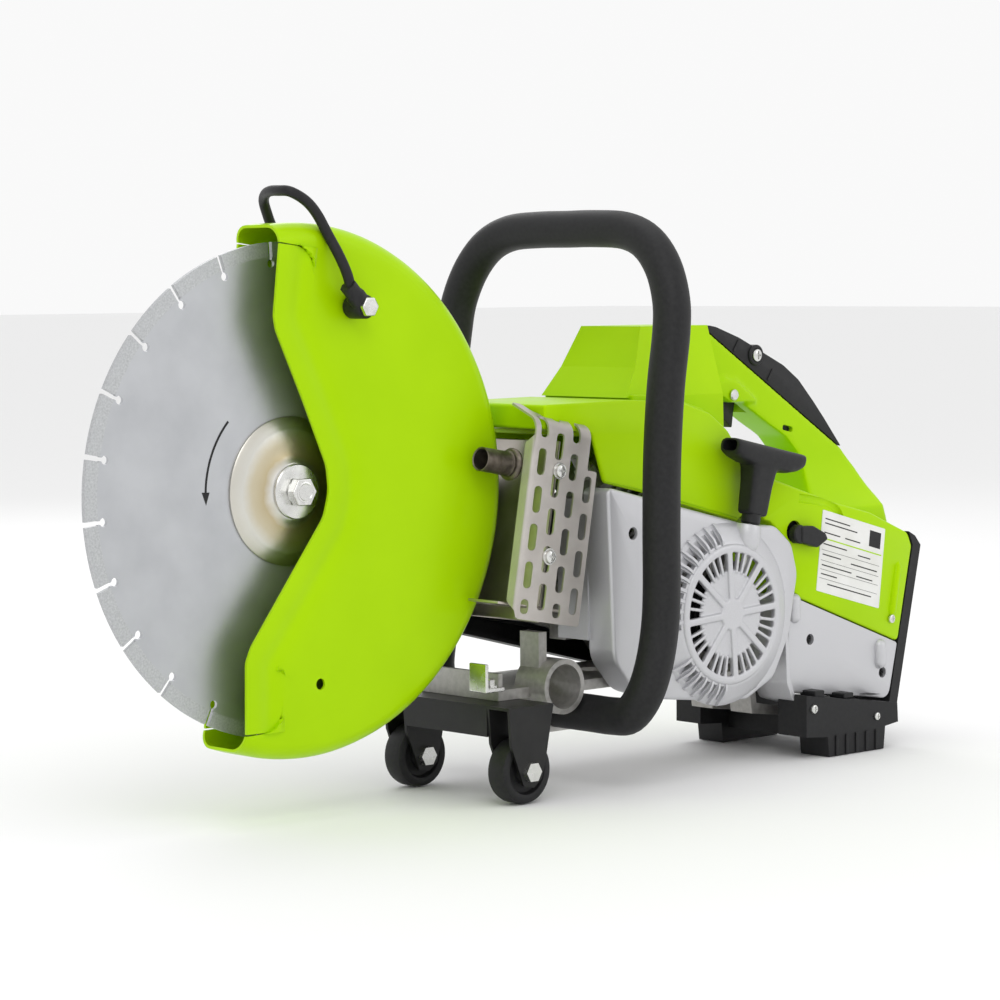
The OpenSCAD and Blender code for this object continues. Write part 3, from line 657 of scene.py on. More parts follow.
def radial(angle):
    """A frame on the crankshaft axis: X points outwards at the angle, Z points out of the near side."""
    a = math.radians(angle)
    turn = Matrix(((math.cos(a), -math.sin(a), 0), (0, 0, -1), (math.sin(a), math.cos(a), 0))).to_4x4()
    return Matrix.Translation((CRANK.x, 0, CRANK.z)) @ turn


def moved(piece, matrix):
    piece.data.transform(matrix)
    return piece


def spin(name, profile, matrix, steps=48, angle=35):
    """Turns (radius, height) points, in millimetres, about the Z axis of a frame."""
    count = len(profile)
    verts = []
    for k in range(steps):
        a = 2 * math.pi * k / steps
        verts += [matrix @ (Vector((r * math.cos(a), r * math.sin(a), h)) * MM) for r, h in profile]
    faces = [(k * count + i, k * count + i + 1, (k + 1) % steps * count + i + 1, (k + 1) % steps * count + i)
             for k in range(steps) for i in range(count - 1)]
    piece = mesh_object(name, verts, faces)
    fix_normals(piece)
    shade_by_angle(piece, angle)
    return piece


def rod(name, radius, low, high, matrix, steps=48):
    """A plain round bar, in millimetres, along the Z axis of a frame."""
    return spin(name, [(0.05, low), (radius, low), (radius, high), (0.05, high), (0.05, low)], matrix, steps)


def loft(name, rings):
    """A closed skin over rings that all have the same number of points."""
    count = len(rings[0])
    verts = [v * MM for ring in rings for v in ring]
    faces = [(r * count + k, r * count + (k + 1) % count, (r + 1) * count + (k + 1) % count,
              (r + 1) * count + k)
             for r in range(len(rings) - 1) for k in range(count)]
    faces.append(list(range(count)))
    faces.append([(len(rings) - 1) * count + k for k in range(count)])
    piece = mesh_object(name, verts, faces)
    fix_normals(piece)
    return piece


def squircle(half_w, half_h, power=0.55, count=28):
    """A rounded rectangle about the origin."""
    def bent(v):
        return math.copysign(abs(v) ** power, v)
    angles = [2 * math.pi * k / count for k in range(count)]
    return [(half_w * bent(math.cos(a)), half_h * bent(math.sin(a))) for a in angles]


def inset(points, distance):
    """Moves every corner of a clockwise outline inwards."""
    out = []
    for i, point in enumerate(points):
        here = Vector(point[:2])
        before = (here - Vector(points[i - 1][:2])).normalized()
        after = (Vector(points[(i + 1) % len(points)][:2]) - here).normalized()
        n0, n1 = Vector((before.y, -before.x)), Vector((after.y, -after.x))
        corner = here + distance * (n0 + n1) / (1 + n0.dot(n1))
        out.append((corner.x, corner.y, max(0, point[2] - distance) if len(point) > 2 else 0))
    return out


def screw_head(name, matrix, radius, cross=True):
    """A pan head, in millimetres, that stands on its frame's XY plane."""
    high = radius * 0.62
    head = spin(name, [(0.02, 0), (radius, 0), (radius, high * 0.4), (radius * 0.93, high * 0.72),
                       (radius * 0.72, high * 0.95), (radius * 0.4, high), (0.02, high)], matrix, 28)
    if cross:
        reach, half = radius * 0.62, radius * 0.13
        arms = [block("arm", (-a * MM, -b * MM, high * 0.45 * MM), (a * MM, b * MM, high * 1.5 * MM), 0)
                for a, b in ((reach, half), (half, reach))]
        for arm in arms:
            moved(arm, matrix)
            cut(head, [arm])
        shade_by_angle(head, 35)
    return head


# ---- Blade ----
def make_blade():
    face = place(BLADE.x / MM, 0, BLADE.z / MM) @ TO_NEAR
    flange = spin("flange_disc", [
        (10.2, 1.3), (44.4, 2.4), (44.4, 1.4), (52.4, 1.3), (52.6, 2.4), (51.8, 3.2), (46.5, 4.3),
        (44.6, 5.2),
        (42.6, 5.8), (33, 6.1), (25.5, 6.4), (22.5, 7.3), (20.6, 8.6), (19.8, 9.0), (10.2, 9.0), (10.2, 1.3),
    ], face, 96)
    finish_piece(flange, "blade", flange_zinc(), ["outer_flange"])
    collar = spin("bolt_collar", [(5.2, 9), (19.2, 9), (19.6, 9.5), (19.6, 11.3), (18.8, 12), (14, 12.3),
                                  (5.2, 12.3), (5.2, 9)], face, 72)
    finish_piece(collar, "blade", "zinc", ["blade_washer"])
    centre = Vector((BLADE.x, 0, BLADE.z))
    head = hexagon("bolt_head", centre, 0.019, -0.0205, -0.0128, 0.0011)
    skirt = spin("bolt_skirt", [(0.05, 12), (9.2, 12), (9.2, 12.9), (8.6, 13.3), (0.05, 13.3)], face, 40)
    crown = spin("bolt_crown", [(0.05, 19), (7.6, 20.2), (7.4, 20.8), (6.2, 21), (5.6, 20.5), (0.05, 20.4)],
                 face, 40)
    shank = spin("bolt_shank", [(0.05, -13), (5, -13), (5, 12.2), (0.05, 12.2)], face, 24)
    finish_piece(join("blade_bolt_head", [head, skirt, crown, shank]), "blade", "zinc", ["blade_bolt"])
    # A plain arrow that shows which way the blade turns
    radius, half, start, end = 73, 0.85, 136, 178
    steps = 20
    angles = [math.radians(start + (end - start) * k / steps) for k in range(steps + 1)]
    tip, base = math.radians(end + 7), angles[-1]

    def polar(r, a):
        return r * math.cos(a), r * math.sin(a)

    outer = [polar(radius + half, a) for a in angles]
    inner = [polar(radius - half, a) for a in reversed(angles)]
    head_points = [polar(radius + 3.4, base), polar(radius, tip), polar(radius - 3.4, base)]
    points = [(BLADE.x / MM + x, BLADE.z / MM + z) for x, z in outer + head_points + inner]
    arrow = plate("rotation_arrow", mm(points), -0.00135, -0.0011)
    finish_piece(arrow, "blade", "black_plastic")


def flange_zinc():
    """Zinc plate with a yellowed band, as chromate leaves it."""
    material, tree, shader = new_material("flange_zinc")
    shader.inputs["Metallic"].default_value = 1.0
    coords = add(tree, "ShaderNodeTexCoord")
    offset = add(tree, "ShaderNodeVectorMath", operation="SUBTRACT")
    offset.inputs[1].default_value = BLADE
    flat = add(tree, "ShaderNodeVectorMath", operation="MULTIPLY")
    flat.inputs[1].default_value = (1, 0, 1)
    length = add(tree, "ShaderNodeVectorMath", operation="LENGTH")
    tree.links.new(coords.outputs["Object"], offset.inputs[0])
    tree.links.new(offset.outputs[0], flat.inputs[0])
    tree.links.new(flat.outputs[0], length.inputs[0])
    wobble = add(tree, "ShaderNodeMath", operation="MULTIPLY_ADD")
    wobble.inputs[1].default_value = 0.006
    tree.links.new(noise(tree, 90, 4), wobble.inputs[0])
    tree.links.new(length.outputs["Value"], wobble.inputs[2])
    share = add(tree, "ShaderNodeMapRange")
    share.inputs["From Max"].default_value = 0.058
    tree.links.new(wobble.outputs[0], share.inputs["Value"])
    colour = ramp(tree, share.outputs["Result"], [
        (0.38, (0.70, 0.70, 0.68)), (0.50, (0.52, 0.44, 0.28)), (0.66, (0.58, 0.52, 0.38)),
        (0.80, (0.66, 0.65, 0.60)), (0.92, (0.62, 0.60, 0.54)),
    ])
    tree.links.new(colour, shader.inputs["Base Color"])
    tree.links.new(spread(tree, noise(tree, 260, 5), 0.26, 0.46), shader.inputs["Roughness"])
    bump(tree, shader, noise(tree, 700, 4), 0.25, 0.0002)
    return material


make_blade()


# ---- Silencer ----
def make_silencer():
    outline = mm([(10, -14, 7), (62, -14, 6), (62, -148, 6), (-6, -148, 10), (-6, -84, 9), (8, -68, 9)])
    body = plate("silencer_pan", outline, -0.058, 0.018, 0, 0.008, 5, 7)
    lip = plate("silencer_lip", mm([(-8, -139, 0), (63.5, -139, 0), (63.5, -136.8, 0), (-8, -136.8, 0)]),
                -0.0597, 0.0197, 0, 0.0008, 2)
    seam = plate("silencer_seam", mm([(34, -14.2, 1), (36.4, -14.2, 1), (36.4, -148.6, 1), (34, -148.6, 1)]),
                 -0.0590, 0.0190, 0, 0.0006, 2)
    for part in (body, lip, seam):
        moved(part, LEANED)
        # Room for the guard, which turns beside the silencer
        room = lathe("room", Vector((BLADE.x, 0, BLADE.z)),
                     [(0.001, -0.028), (0.192, -0.028), (0.192, 0.040), (0.001, 0.040), (0.001, -0.028)], 96)
        cut(part, [room])
        shade_by_angle(part, 30)
    finish_piece(join("silencer_shell", [body, lip, seam]), "machine", "silencer_metal", ["muffler_body"])
    stub = spin("silencer_stub", [
        (7.6, 1), (12, 0.5), (12.2, 1.8), (11.2, 3.4), (9.8, 4.0), (9.6, 5.2), (9.9, 6.2), (9.2, 7.4), (9, 9),
        (8.8, 30.6), (8.9, 31.6), (8.3, 32), (7.6, 31.4), (7.6, 1),
    ], LEANED @ place(8, -40, -36) @ Matrix.Rotation(math.radians(-90), 4, "Y"), 40)
    finish_piece(stub, "machine", stub_steel(), ["exhaust_stub"])


def stub_steel():
    return grained("stub_steel", (0.10, 0.085, 0.07), (0.21, 0.18, 0.15), (0.34, 0.5), metal=0.9, scale=180)


SHIELD_FACE = -0.070
SHIELD_SHEET = 0.0016
TOP_BEND_Z, TOP_BEND_R = -0.011, 0.012
SIDE_BEND_X, SIDE_BEND_R = 0.003, 0.0032
SLOT_HALF = 3.9


def bend(s, depth, radius, most):
    """How far along and how far across a point of a bent sheet lies, s past the start of the bend."""
    if s <= 0:
        return s, 0.0
    turn = min(s / radius, most)
    rest = s - turn * radius
    along = (radius - depth) * math.sin(turn) + rest * math.cos(turn)
    across = radius - (radius - depth) * math.cos(turn) + rest * math.sin(turn) - depth
    return along, across


def make_shield():
    outline = mm([(0, -14, 3), (-8, -20, 4), (-8, -136, 4), (0, -142, 2), (2, -148, 4), (66, -148, 3),
                  (66, -33, 2), (56, -33, 2), (56, 8, 9), (16, 8, 5), (10, 13, 6), (9, 27, 2), (0, 27, 2)])
    sheet = plate("shield_sheet", outline[::-1], SHIELD_FACE, SHIELD_FACE + SHIELD_SHEET, 0, 0, 3, 6)
    slots = []
    for column in range(4):
        x = 9 + column * 16.3
        top = -5 if column % 2 == 0 else -19.5
        first = 1 if column == 3 else 0
        slots += [(x, top - row * 27.6, 9.8) for row in range(first, 5)]
    slots += [(9, -138.5, 5.4), (41.6, -138.5, 5.4), (25.3, 5.5, 5.2)]
    tools = [plate("slot", mm([(x + a * SLOT_HALF, z + b * h, 3.8)
                               for a, b in ((-1, -1), (1, -1), (1, 1), (-1, 1))]), -0.08, -0.06, 0, 0, 3,
                               6) for x, z, h in slots]
    cut(sheet, tools)
    work = bmesh.new()
    work.from_mesh(sheet.data)
    # Cut the flat sheet into strips first, so that it can bend
    levels = [TOP_BEND_Z + 0.0013 * k for k in range(22)] + [-0.03, -0.06, -0.09, -0.12]
    planes = [((0, 0, level), (0, 0, 1)) for level in levels]
    planes += [((SIDE_BEND_X - 0.0007 * k, 0, 0), (1, 0, 0)) for k in range(8)]
    for point, normal in planes:
        bmesh.ops.bisect_plane(work, geom=work.verts[:] + work.edges[:] + work.faces[:],
                               plane_co=point, plane_no=normal)
    for vert in work.verts:
        x, y, z = vert.co
        depth = y - SHIELD_FACE
        if z > TOP_BEND_Z:
            along, across = bend(z - TOP_BEND_Z, depth, TOP_BEND_R, math.radians(68))
            vert.co = Vector((x, y + across, TOP_BEND_Z + along))
        if x < SIDE_BEND_X and z < -0.0135:
            along, across = bend(SIDE_BEND_X - x, depth, SIDE_BEND_R, math.radians(84))
            vert.co = Vector((SIDE_BEND_X - along, vert.co.y + across, vert.co.z))
    work.to_mesh(sheet.data)
    work.free()
    moved(sheet, LEANED)
    fix_normals(sheet)
    shade_by_angle(sheet, 38)
    finish_piece(sheet, "machine", shield_metal(), ["heat_shield"])


def shield_metal():
    return grained("shield_metal", (0.47, 0.44, 0.41), (0.55, 0.52, 0.49), (0.38, 0.50), metal=0.75, scale=60,
                   bump_scale=1100, bump_strength=0.2)


make_silencer()
make_shield()


# ---- Starter cover ----
STARTER = [(24, 226, 6), (178, 189, 3), (208, 187, 18), (227, 172, 16), (234, 148, 25), (224, 100, 30),
           (206, 68, 18), (176, 54, 14), (141, 56, 20), (78, 63, 20), (52, 71, 25), (30, 96, 25)]
FIN_ANGLES = [100 + 8.2 * k for k in range(11)] + [214 + 8.2 * k for k in range(7)]
SCREW_HOLES = [(50, 190), (213, 134), (182, 66)]
CASING_HOLES = [(259, 93), (347, 59)]


def on_crank(profile, name, steps=96):
    return spin(name, profile, place(CRANK.x / MM, 0, CRANK.z / MM) @ TO_NEAR, steps)


def silencer_room():
    return moved(block("keep_out", (-0.020, -0.0645, -0.150), (0.065, 0.030, 0.0), 0), LEANED)


def make_starter_cover():
    panel = plate("starter_panel", mm(STARTER), -0.075, -0.047, 0, 0.0035, 4, 7)
    hollow = plate("hollow", mm(inset(STARTER, 3)), -0.072, -0.040, 0, 0, 3, 7)
    cut(panel, [hollow])
    cut(panel, [silencer_room()])
    cut(panel, [on_crank([(0.05, 70), (61, 70), (61, 80), (0.05, 80), (0.05, 70)], "mouth")])
    for x, z in SCREW_HOLES:
        cut(panel, [spin("hole", [(0.05, 60), (4.4, 60), (4.4, 74), (5.2, 76), (0.05, 76), (0.05, 60)],
                         place(x, 0, z) @ TO_NEAR, 32)])
    shade_by_angle(panel, 35)
    cone = on_crank([(60.5, 73), (71, 73), (69.5, 75.4), (66, 77.2), (57, 82.2), (54, 83.4), (50, 83.4),
                     (50, 80.5), (54, 79.3), (60.5, 75.2), (60.5, 73)], "starter_cone")
    windows = [moved(block("slot", (0.0555, -0.0021, 0.0765), (0.0665, 0.0021, 0.090), 0), radial(a + 4.1))
               for a in FIN_ANGLES[:-1]]
    cut(cone, windows)
    shade_by_angle(cone, 35)
    fins = []
    for angle in FIN_ANGLES:
        fin = plate("fin", mm([(53.5, 80), (53.5, 84.2), (58, 84.4), (62, 83.2), (70.5, 77), (71.5, 74),
                               (60, 74)]),
                    -0.0011, 0.0011, 0.0012, 0.0005, 2, 3)
        fins.append(moved(fin, radial(angle)))
    channel = tube("rope_channel",
                   [ALONG_ROPE @ (Vector((0, 3, z)) * MM) for z in (-22, -20, -15, -8, -2.5, -0.6, -0.4)],
                   [v * MM for v in (6, 9, 11, 11.4, 11.2, 10.4, 8)], 40)
    side = plate("front_wall", mm([(27, 110, 0), (30, 110, 0), (30, 215, 0), (27, 215, 0)]), -0.050, -0.018)
    cut(side, [silencer_room()])
    cover = join("starter_cover_casting", [panel, cone, channel, side] + fins)
    finish_piece(cover, "machine", "silver_paint", ["starter_cover"])
    make_grille()


def make_grille():
    parts = [
        on_crank([(47.6, 80.4), (47.6, 84.4), (48.4, 85.2), (51.6, 85.2), (53.2, 84.6), (54.4, 83),
                  (54.4, 80.4),
                  (47.6, 80.4)], "rim"),
        on_crank([(0.05, 80.4), (33.4, 80.4), (34, 81.2), (33.4, 82.4), (32.6, 82.8), (0.05, 82.8),
                  (0.05, 80.4)],
                 "disc"),
        on_crank([(0.05, 82), (12.4, 82), (12.4, 84.2), (11.4, 85.2), (0.05, 85.2), (0.05, 82)], "hub", 48),
    ]
    for k in range(8):
        angle = 45 * k + 4
        parts.append(moved(block("spoke", (0.006, -0.0027, 0.0806), (0.050, 0.0027, 0.0852), 0.0008, 2),
                           radial(angle)))
        for step in (-1, 0, 1):
            vane = block("vane", (0.032, -0.0012, 0.0806), (0.049, 0.0012, 0.0842), 0)
            parts.append(moved(vane, radial(angle + 22.5 + step * 9.2)))
    grille = melt("starter_grille", parts, 0.0007, 3, 0.4)
    finish_piece(grille, "machine", "silver_paint", ["starter_cover"])


make_starter_cover()


# ---- Pull handle ----
def make_pull_handle():
    stations = [(-35, 51, 10.2), (-33.5, 49.6, 10.8), (-28, 47.2, 11.4), (-18, 45, 11.8), (0, 44, 12),
                (26, 44.2, 12),
                (36, 47, 11.6), (42, 50.5, 10.6), (44.4, 54, 8.4), (45, 56, 6)]
    rings = []
    for x, low, half in stations:
        middle, high = (low + 62) / 2, (62 - low) / 2
        rings.append([Vector((x, y, middle + z)) for y, z in squircle(half, high, 0.62, 32)])
    bar = moved(loft("bar", rings), ALONG_ROPE)
    stem_rings = []
    for z, x0, x1, half in ((7.4, -8, 10, 7), (9, -9.4, 11.4, 7.9), (30, -10.6, 12.6, 8.4),
                            (42, -12, 14, 9.4),
                            (50, -14, 16, 10.4)):
        stem_rings.append([Vector(((x0 + x1) / 2 + x, 0.4 + y, z))
                           for x, y in squircle((x1 - x0) / 2, half, 0.34, 32)])
    stem = moved(loft("stem", stem_rings), ALONG_ROPE)
    neck = spin("neck", [(1.9, 0.4), (6.4, 0.4), (7.4, 1.4), (7.4, 8), (1.9, 8), (1.9, 0.4)], ALONG_ROPE, 40)
    handle = melt("pull_handle_grip", [bar, stem], 0.0011, 5)
    hole_rings = [[Vector((x, y, 56.2 + z)) for y, z in squircle(half, high, 0.62, 24)]
                  for x, half, high in ((-40, 7.4, 4.4), (-30, 7.4, 4.4), (-8, 6.6, 4.0))]
    cut(handle, [moved(loft("hole", hole_rings), ALONG_ROPE)])
    shade_by_angle(handle, 40)
    finish_piece(join("pull_handle_rubber", [handle, neck]), "starter_grip", "black_plastic", ["pull_handle"])


make_pull_handle()


# ---- Covers ----
TOP = [(-28, 288, 3), (60, 289, 20), (116, 286, 24), (148, 276, 24), (168, 262, 22), (181, 245, 22),
       (190, 222, 14),
       (191, 200, 6), (178, 191.5, 2), (73, 219, 4), (33, 228, 6), (20, 266, 6), (-28, 270, 3)]
REAR = [(205, 226, 3), (250, 212, 20), (290, 200, 20), (332, 190, 20), (379, 171, 9), (384, 160, 6),
        (366.5, 83, 4),
        (248, 126.5, 3), (239, 133, 4), (238, 148, 6), (230, 175, 12), (212, 189.5, 4), (205, 191, 3)]
CASING = [(237, 130, 2), (247.5, 125.5, 2), (366, 82, 3), (355, 37, 10), (236, 53, 6), (230, 60, 6)]


def shell_plate(name, outline, y0, y1, wall, round_edge, opening=None):
    """A moulded cover: a rounded outline, hollow inside, with an opening cut along its whole width."""
    body = plate(name, mm(outline), y0, y1, 0, round_edge, 5, 7)
    tools = [plate("hollow", mm(inset(outline, wall)), y0 + wall * MM, y1 - wall * MM, 0, 0, 3, 7)]
    cut(body, tools)
    if opening:
        cut(body, [plate("opening", mm(opening), y0 + wall * MM, y1 - wall * MM)])
    return body


def make_top_cover():
    cover = shell_plate("top_cover_moulding", TOP, -0.062, 0.047, 2.5, 0.0075, [
        (-25, 275), (-25, 262), (30, 215), (178, 170), (200, 190), (200, 222), (180, 222)])
    cut(cover, [block("filter_opening", (0.092, -0.030, 0.260), (0.150, 0.030, 0.300), 0)])
    # A parting line that runs round the skirt
    line = mm([(30, 229.2), (73, 220.2), (179, 192.7), (192, 201.2), (195, 201.2), (195, 202), (191, 202),
               (179, 193.9),
               (73, 221.2), (30, 230.2)])
    cut(cover, [plate("line", line, -0.070, -0.0612)])
    shade_by_angle(cover, 30)
    finish_piece(cover, "machine", "green_plastic", ["top_cover"])
    soften_edges("filter_cover", 0.0035, 4)
    # Raised rib where the tower meets the cover
    rib = plate("tower_rib", mm([(76, 286, 2), (112, 286, 2), (150, 275, 4), (176, 258, 3), (179, 261, 2),
                                 (152, 279.5, 4), (113, 290.5, 3), (76, 292, 2)]), -0.049, 0.0465, 0, 0.0015,
                                 3)
    finish_piece(rib, "machine", "green_plastic")


def handle_skin():
    outline = mm([
        (176.6, 341, 2), (190, 339.7, 1), (347.4, 242.4, 1), (352, 240, 3), (368, 223, 40), (384, 198, 40),
        (391, 179, 8), (392, 169.3, 2), (380.5, 171, 2), (332, 190.6, 4), (303, 197.8, 3), (304.5, 215, 20),
        (304.5, 226, 16), (300, 237.5, 20), (285, 251.7, 20), (265, 262.3, 20), (240, 276.5, 12),
        (232.7, 281, 2),
        (229, 291, 2), (198, 292, 3), (198, 300.3, 2), (178.7, 300.3, 2)])
    body = plate("handle_body", outline, -0.0165, 0.0165, 0, 0.0085, 6, 7)
    lens = plate("handle_lens",
                 mm([(198.7, 296, 2), (211, 300, 10), (225, 298, 12), (249.3, 280.6, 1), (218, 281, 10),
                                    (207.5, 286, 8)]), -0.0195, 0.0195, 0, 0.0022, 3, 6)
    skin = melt("rear_handle_moulding", [body, lens], 0.0016, 6, 0.5)
    # The lower leg widens where it flows into the rear cover
    for vert in skin.data.vertices:
        z = vert.co.z * 1000
        low = max(0.0, min(1.0, (236 - z) / 44)) if vert.co.x > 0.27 else 0.0
        vert.co.y *= 1 + 1.05 * low * low
    return skin


def make_rear_handle():
    skin = handle_skin()
    cut(skin, [plate("trigger_slot", mm([(190, 296), (236, 296), (248, 284), (248, 258), (190, 258)]), -0.007,
                     0.007)])
    cut(skin, [plate("oval_slot",
                     mm([(280, 257.2, 2.2), (292, 254.6, 2.2), (293, 259, 2.2), (281, 261.6, 2.2)]),
                     -0.040, -0.010)])
    shade_by_angle(skin, 35)
    finish_piece(skin, "machine", "green_plastic", ["rear_handle"])
    pocket = plate("oval_pocket",
                   mm([(280, 256.9, 2.2), (292.4, 254.2, 2.2), (293.4, 259.3, 2.2), (281, 262, 2.2)]),
                   -0.0125, -0.0105)
    finish_piece(pocket, "machine", "black_plastic")
    pad = plate("insert_pad", mm([
        (190, 340.1, 1), (194, 342.5, 5), (203, 341, 14), (230, 332, 24), (246, 325, 24), (282, 309, 24),
        (300, 297, 20),
        (318, 279, 20), (331, 265, 16), (352, 241, 1), (347.6, 242.8, 1)]), -0.0163, 0.0163, 0, 0.0048, 5, 6)
    cut(pad, [plate("lever_slot", mm([(274, 320), (334, 300), (334, 255.5), (284, 286.5), (274, 300)]),
                    -0.0085, 0.0085)])
    shade_by_angle(pad, 35)
    boss = spin("boss", [(0.05, 12), (8.4, 12), (8.4, 17.3), (7.4, 18.2), (5.6, 18.2), (5.4, 16.8),
                         (0.05, 16.8),
                         (0.05, 12)], place(248.5, 0, 317.8) @ TO_NEAR, 40)
    ribs = [plate("rib", mm([(x, z, 0), (x + 1.6, z - 1.2, 0), (x + 7.6, z + 7.6, 0), (x + 6, z + 8.8, 0)]),
                  -0.0171, -0.0158, 0, 0.0003, 2) for x, z in ((222, 322), (262, 298))]
    finish_piece(join("grip_insert_rubber", [pad, boss] + ribs), "machine", "black_plastic", ["grip_insert"])
    screw = screw_head("screw", place(248.5, -16.6, 317.8) @ TO_NEAR, 5.2)
    pins = [
        spin("pin", [(0.05, -20), (3, -20), (3, 20), (4.4, 20.2), (4.4, 21.4), (3.6, 22), (0.05, 22)],
             pivot("trigger_squeeze"), 32),
        spin("lock_pin", [(0.05, -15), (2.5, -15), (2.5, 15), (0.05, 15)], pivot("lockout_press"), 24),
    ]
    finish_piece(join("handle_pins", pins), "machine", "zinc", ["trigger_pin"])
    finish_piece(screw, "machine", "zinc")
    trigger = plate("trigger_blade", mm([(209, 288, 2), (213, 292.6, 2), (226, 291.8, 2), (236, 281, 2),
                                         (234.3, 272.8, 8), (232.5, 259.4, 1.5), (225.4, 265.8, 6),
                                         (216.5, 271, 4),
                                         (211, 282, 4)]), -0.0055, 0.0055, 0, 0.0015, 3, 6)
    cut(trigger, [rod("bore", 3.15, -20, 20, pivot("trigger_squeeze"), 32)])
    shade_by_angle(trigger, 35)
    finish_piece(trigger, "trigger", "black_plastic", ["trigger"])
    lever = plate("lockout_pad",
                  mm([(279, 304, 2), (287, 308.8, 3), (323, 295.4, 3), (326.9, 291, 3), (326.9, 276, 2),
                                     (322, 272, 3), (291, 295, 4)]), -0.0075, 0.0075, 0, 0.0018, 4)
    cut(lever, [rod("bore", 2.56, -20, 20, pivot("lockout_press"), 32)])
    shade_by_angle(lever, 35)
    finish_piece(lever, "lockout", "black_plastic", ["lockout_lever"])


def make_rear_cover():
    cover = shell_plate("rear_cover_moulding", REAR, -0.065, 0.050, 2.5, 0.005, [
        (245, 150), (364, 100), (362, 70), (245, 115)])
    path = [Vector((x, -66.3, z)) * MM
            for x, z in ((246, 206), (262, 203.6), (280, 200), (292, 193), (298, 182),
                                                  (299, 170), (297, 158))]
    groove = tube("groove", catmull(path, 5), 0.0038, 16)
    cut(cover, [groove])
    cut(cover, [rod("choke_well", 8.6, 50, 70, place(240, 0, 180) @ TO_NEAR, 40)])
    cut(cover, [block("switch_slot", (0.2255, 0.045, 0.177), (0.2385, 0.055, 0.207), 0)])
    shade_by_angle(cover, 30)
    rib = tube("rear_rib",
               [Vector((x, -63.5, z)) * MM for x, z in ((368, 150), (366.5, 144), (359, 108), (358, 103))],
               [0.0004, 0.0042, 0.0044, 0.002], 20)
    finish_piece(join("rear_cover_green", [cover, rib]), "machine", "green_plastic", ["rear_cover"])
    well = spin("well", [(0.05, 50), (9.2, 50), (9.2, 61.8), (8.6, 61.8), (8.6, 60), (0.05, 60), (0.05, 50)],
                place(240, 0, 180) @ TO_NEAR, 40)
    cut(well, [rod("bore", 3.2, 40, 80, pivot("choke_turn"), 32)])
    finish_piece(well, "machine", "black_plastic")
    finish_piece(screw_head("cover_screw", place(357, -65.6, 102) @ TO_NEAR, 3.6), "machine", "zinc")


def make_choke():
    hub = spin("hub", [(0.05, 54), (3, 54), (3, 65.6), (6.8, 65.8), (7.4, 66.4), (7.4, 71.6), (6.4, 72.8),
                       (0.05, 73)], pivot("choke_turn"), 40)
    pointer = plate("pointer",
                    mm([(240, 184.5, 3), (254, 184, 6), (268, 177.5, 3), (271, 172.5, 2), (259, 166.5, 5),
                                   (240, 171.5, 3)]), -0.074, -0.066, 0, 0.0016, 4)
    finish_piece(join("choke_knob", [hub, pointer]), "choke", "black_plastic", ["choke_lever"])


LABEL_FACE = -0.0654


def make_label():
    """A blank rating plate with plain rules where a real one would be printed."""
    corner, across, down = Vector((274, 195.5)), Vector((76, -20)), Vector((-8, -64))

    def patch(name, u0, u1, v0, v1, y0, y1):
        points = [corner + across * u + down * v for u, v in ((u0, v0), (u1, v0), (u1, v1), (u0, v1))]
        return plate(name, mm([(p.x, p.y) for p in points]), y0 * MM, y1 * MM)
    sheet = plate("label_sheet",
                  mm([(274, 195.5, 1.2), (350, 175.5, 1.2), (342, 111.5, 1.2), (266, 131.5, 1.2)]),
                  LABEL_FACE, LABEL_FACE + 0.0006, 0, 0, 3, 4)
    finish_piece(sheet, "machine", "white_plastic")
    rows = [(0.05, 0.44, 0.09), (0.05, 0.56, 0.145), (0.05, 0.30, 0.26), (0.38, 0.62, 0.26),
            (0.05, 0.42, 0.40),
            (0.60, 0.80, 0.42), (0.05, 0.34, 0.53), (0.50, 0.92, 0.55), (0.05, 0.52, 0.66),
            (0.60, 0.86, 0.68),
            (0.05, 0.30, 0.77), (0.16, 0.86, 0.88)]
    rules = [patch("rule", u0, u1, v, v + 0.014, -65.5, -65.38) for u0, u1, v in rows]
    rules += [patch("rule", 0.03, 0.95, v, v + 0.004, -65.5, -65.38) for v in (0.48, 0.61, 0.72, 0.83)]
    rules.append(patch("rule", 0.76, 0.94, 0.07, 0.27, -65.5, -65.38))
    finish_piece(join("label_rules", rules), "machine", "black_plastic")
    finish_piece(patch("label_line", 0.03, 0.97, 0.335, 0.35, -65.5, -65.38), "machine", "green_plastic")


def capsule(name, x, z0, z1, radius):
    ends = [(0.02, 0), (0.5, 0.14), (0.8, 0.4), (0.96, 0.72), (1, 1)]
    path = [(z0 + radius * h, r) for r, h in ends] + [(z1 - radius * h, r) for r, h in reversed(ends)]
    return tube(name, [Vector((x, -64.2, z)) * MM for z, _ in path], [r * radius * MM for _, r in path], 28)


def make_casing():
    body = shell_plate("casing_moulding", CASING, -0.065, 0.050, 3, 0.0045,
                       [(245, 110), (245, 135), (364, 92), (360, 80)])
    for x, z in CASING_HOLES:
        cut(body, [rod("hole", 4.4, 55, 70, place(x, 0, z) @ TO_NEAR, 32)])
    cut(body, [rod("filler", 17, 45, 55, place(300, 0, 84) @ TO_FAR, 48)])
    shade_by_angle(body, 30)
    bosses = [capsule("boss", 240.5, 107, 131, 5.6), capsule("boss", 343.5, 62, 87, 6.0)]
    strap = plate("strap", mm([(226.5, 126, 1), (230, 126, 1), (233.5, 64, 10), (240, 50, 8), (257, 43.5, 1),
                               (256.5, 40.5, 1), (237, 46, 8), (230, 60, 12)]), -0.0668, -0.030, 0, 0.0008, 3,
                               6)
    finish_piece(join("rear_casing_silver", [body, strap] + bosses), "machine", "silver_paint",
                 ["rear_casing"])


make_top_cover()
make_rear_handle()
make_rear_cover()
make_choke()
make_label()
make_casing()


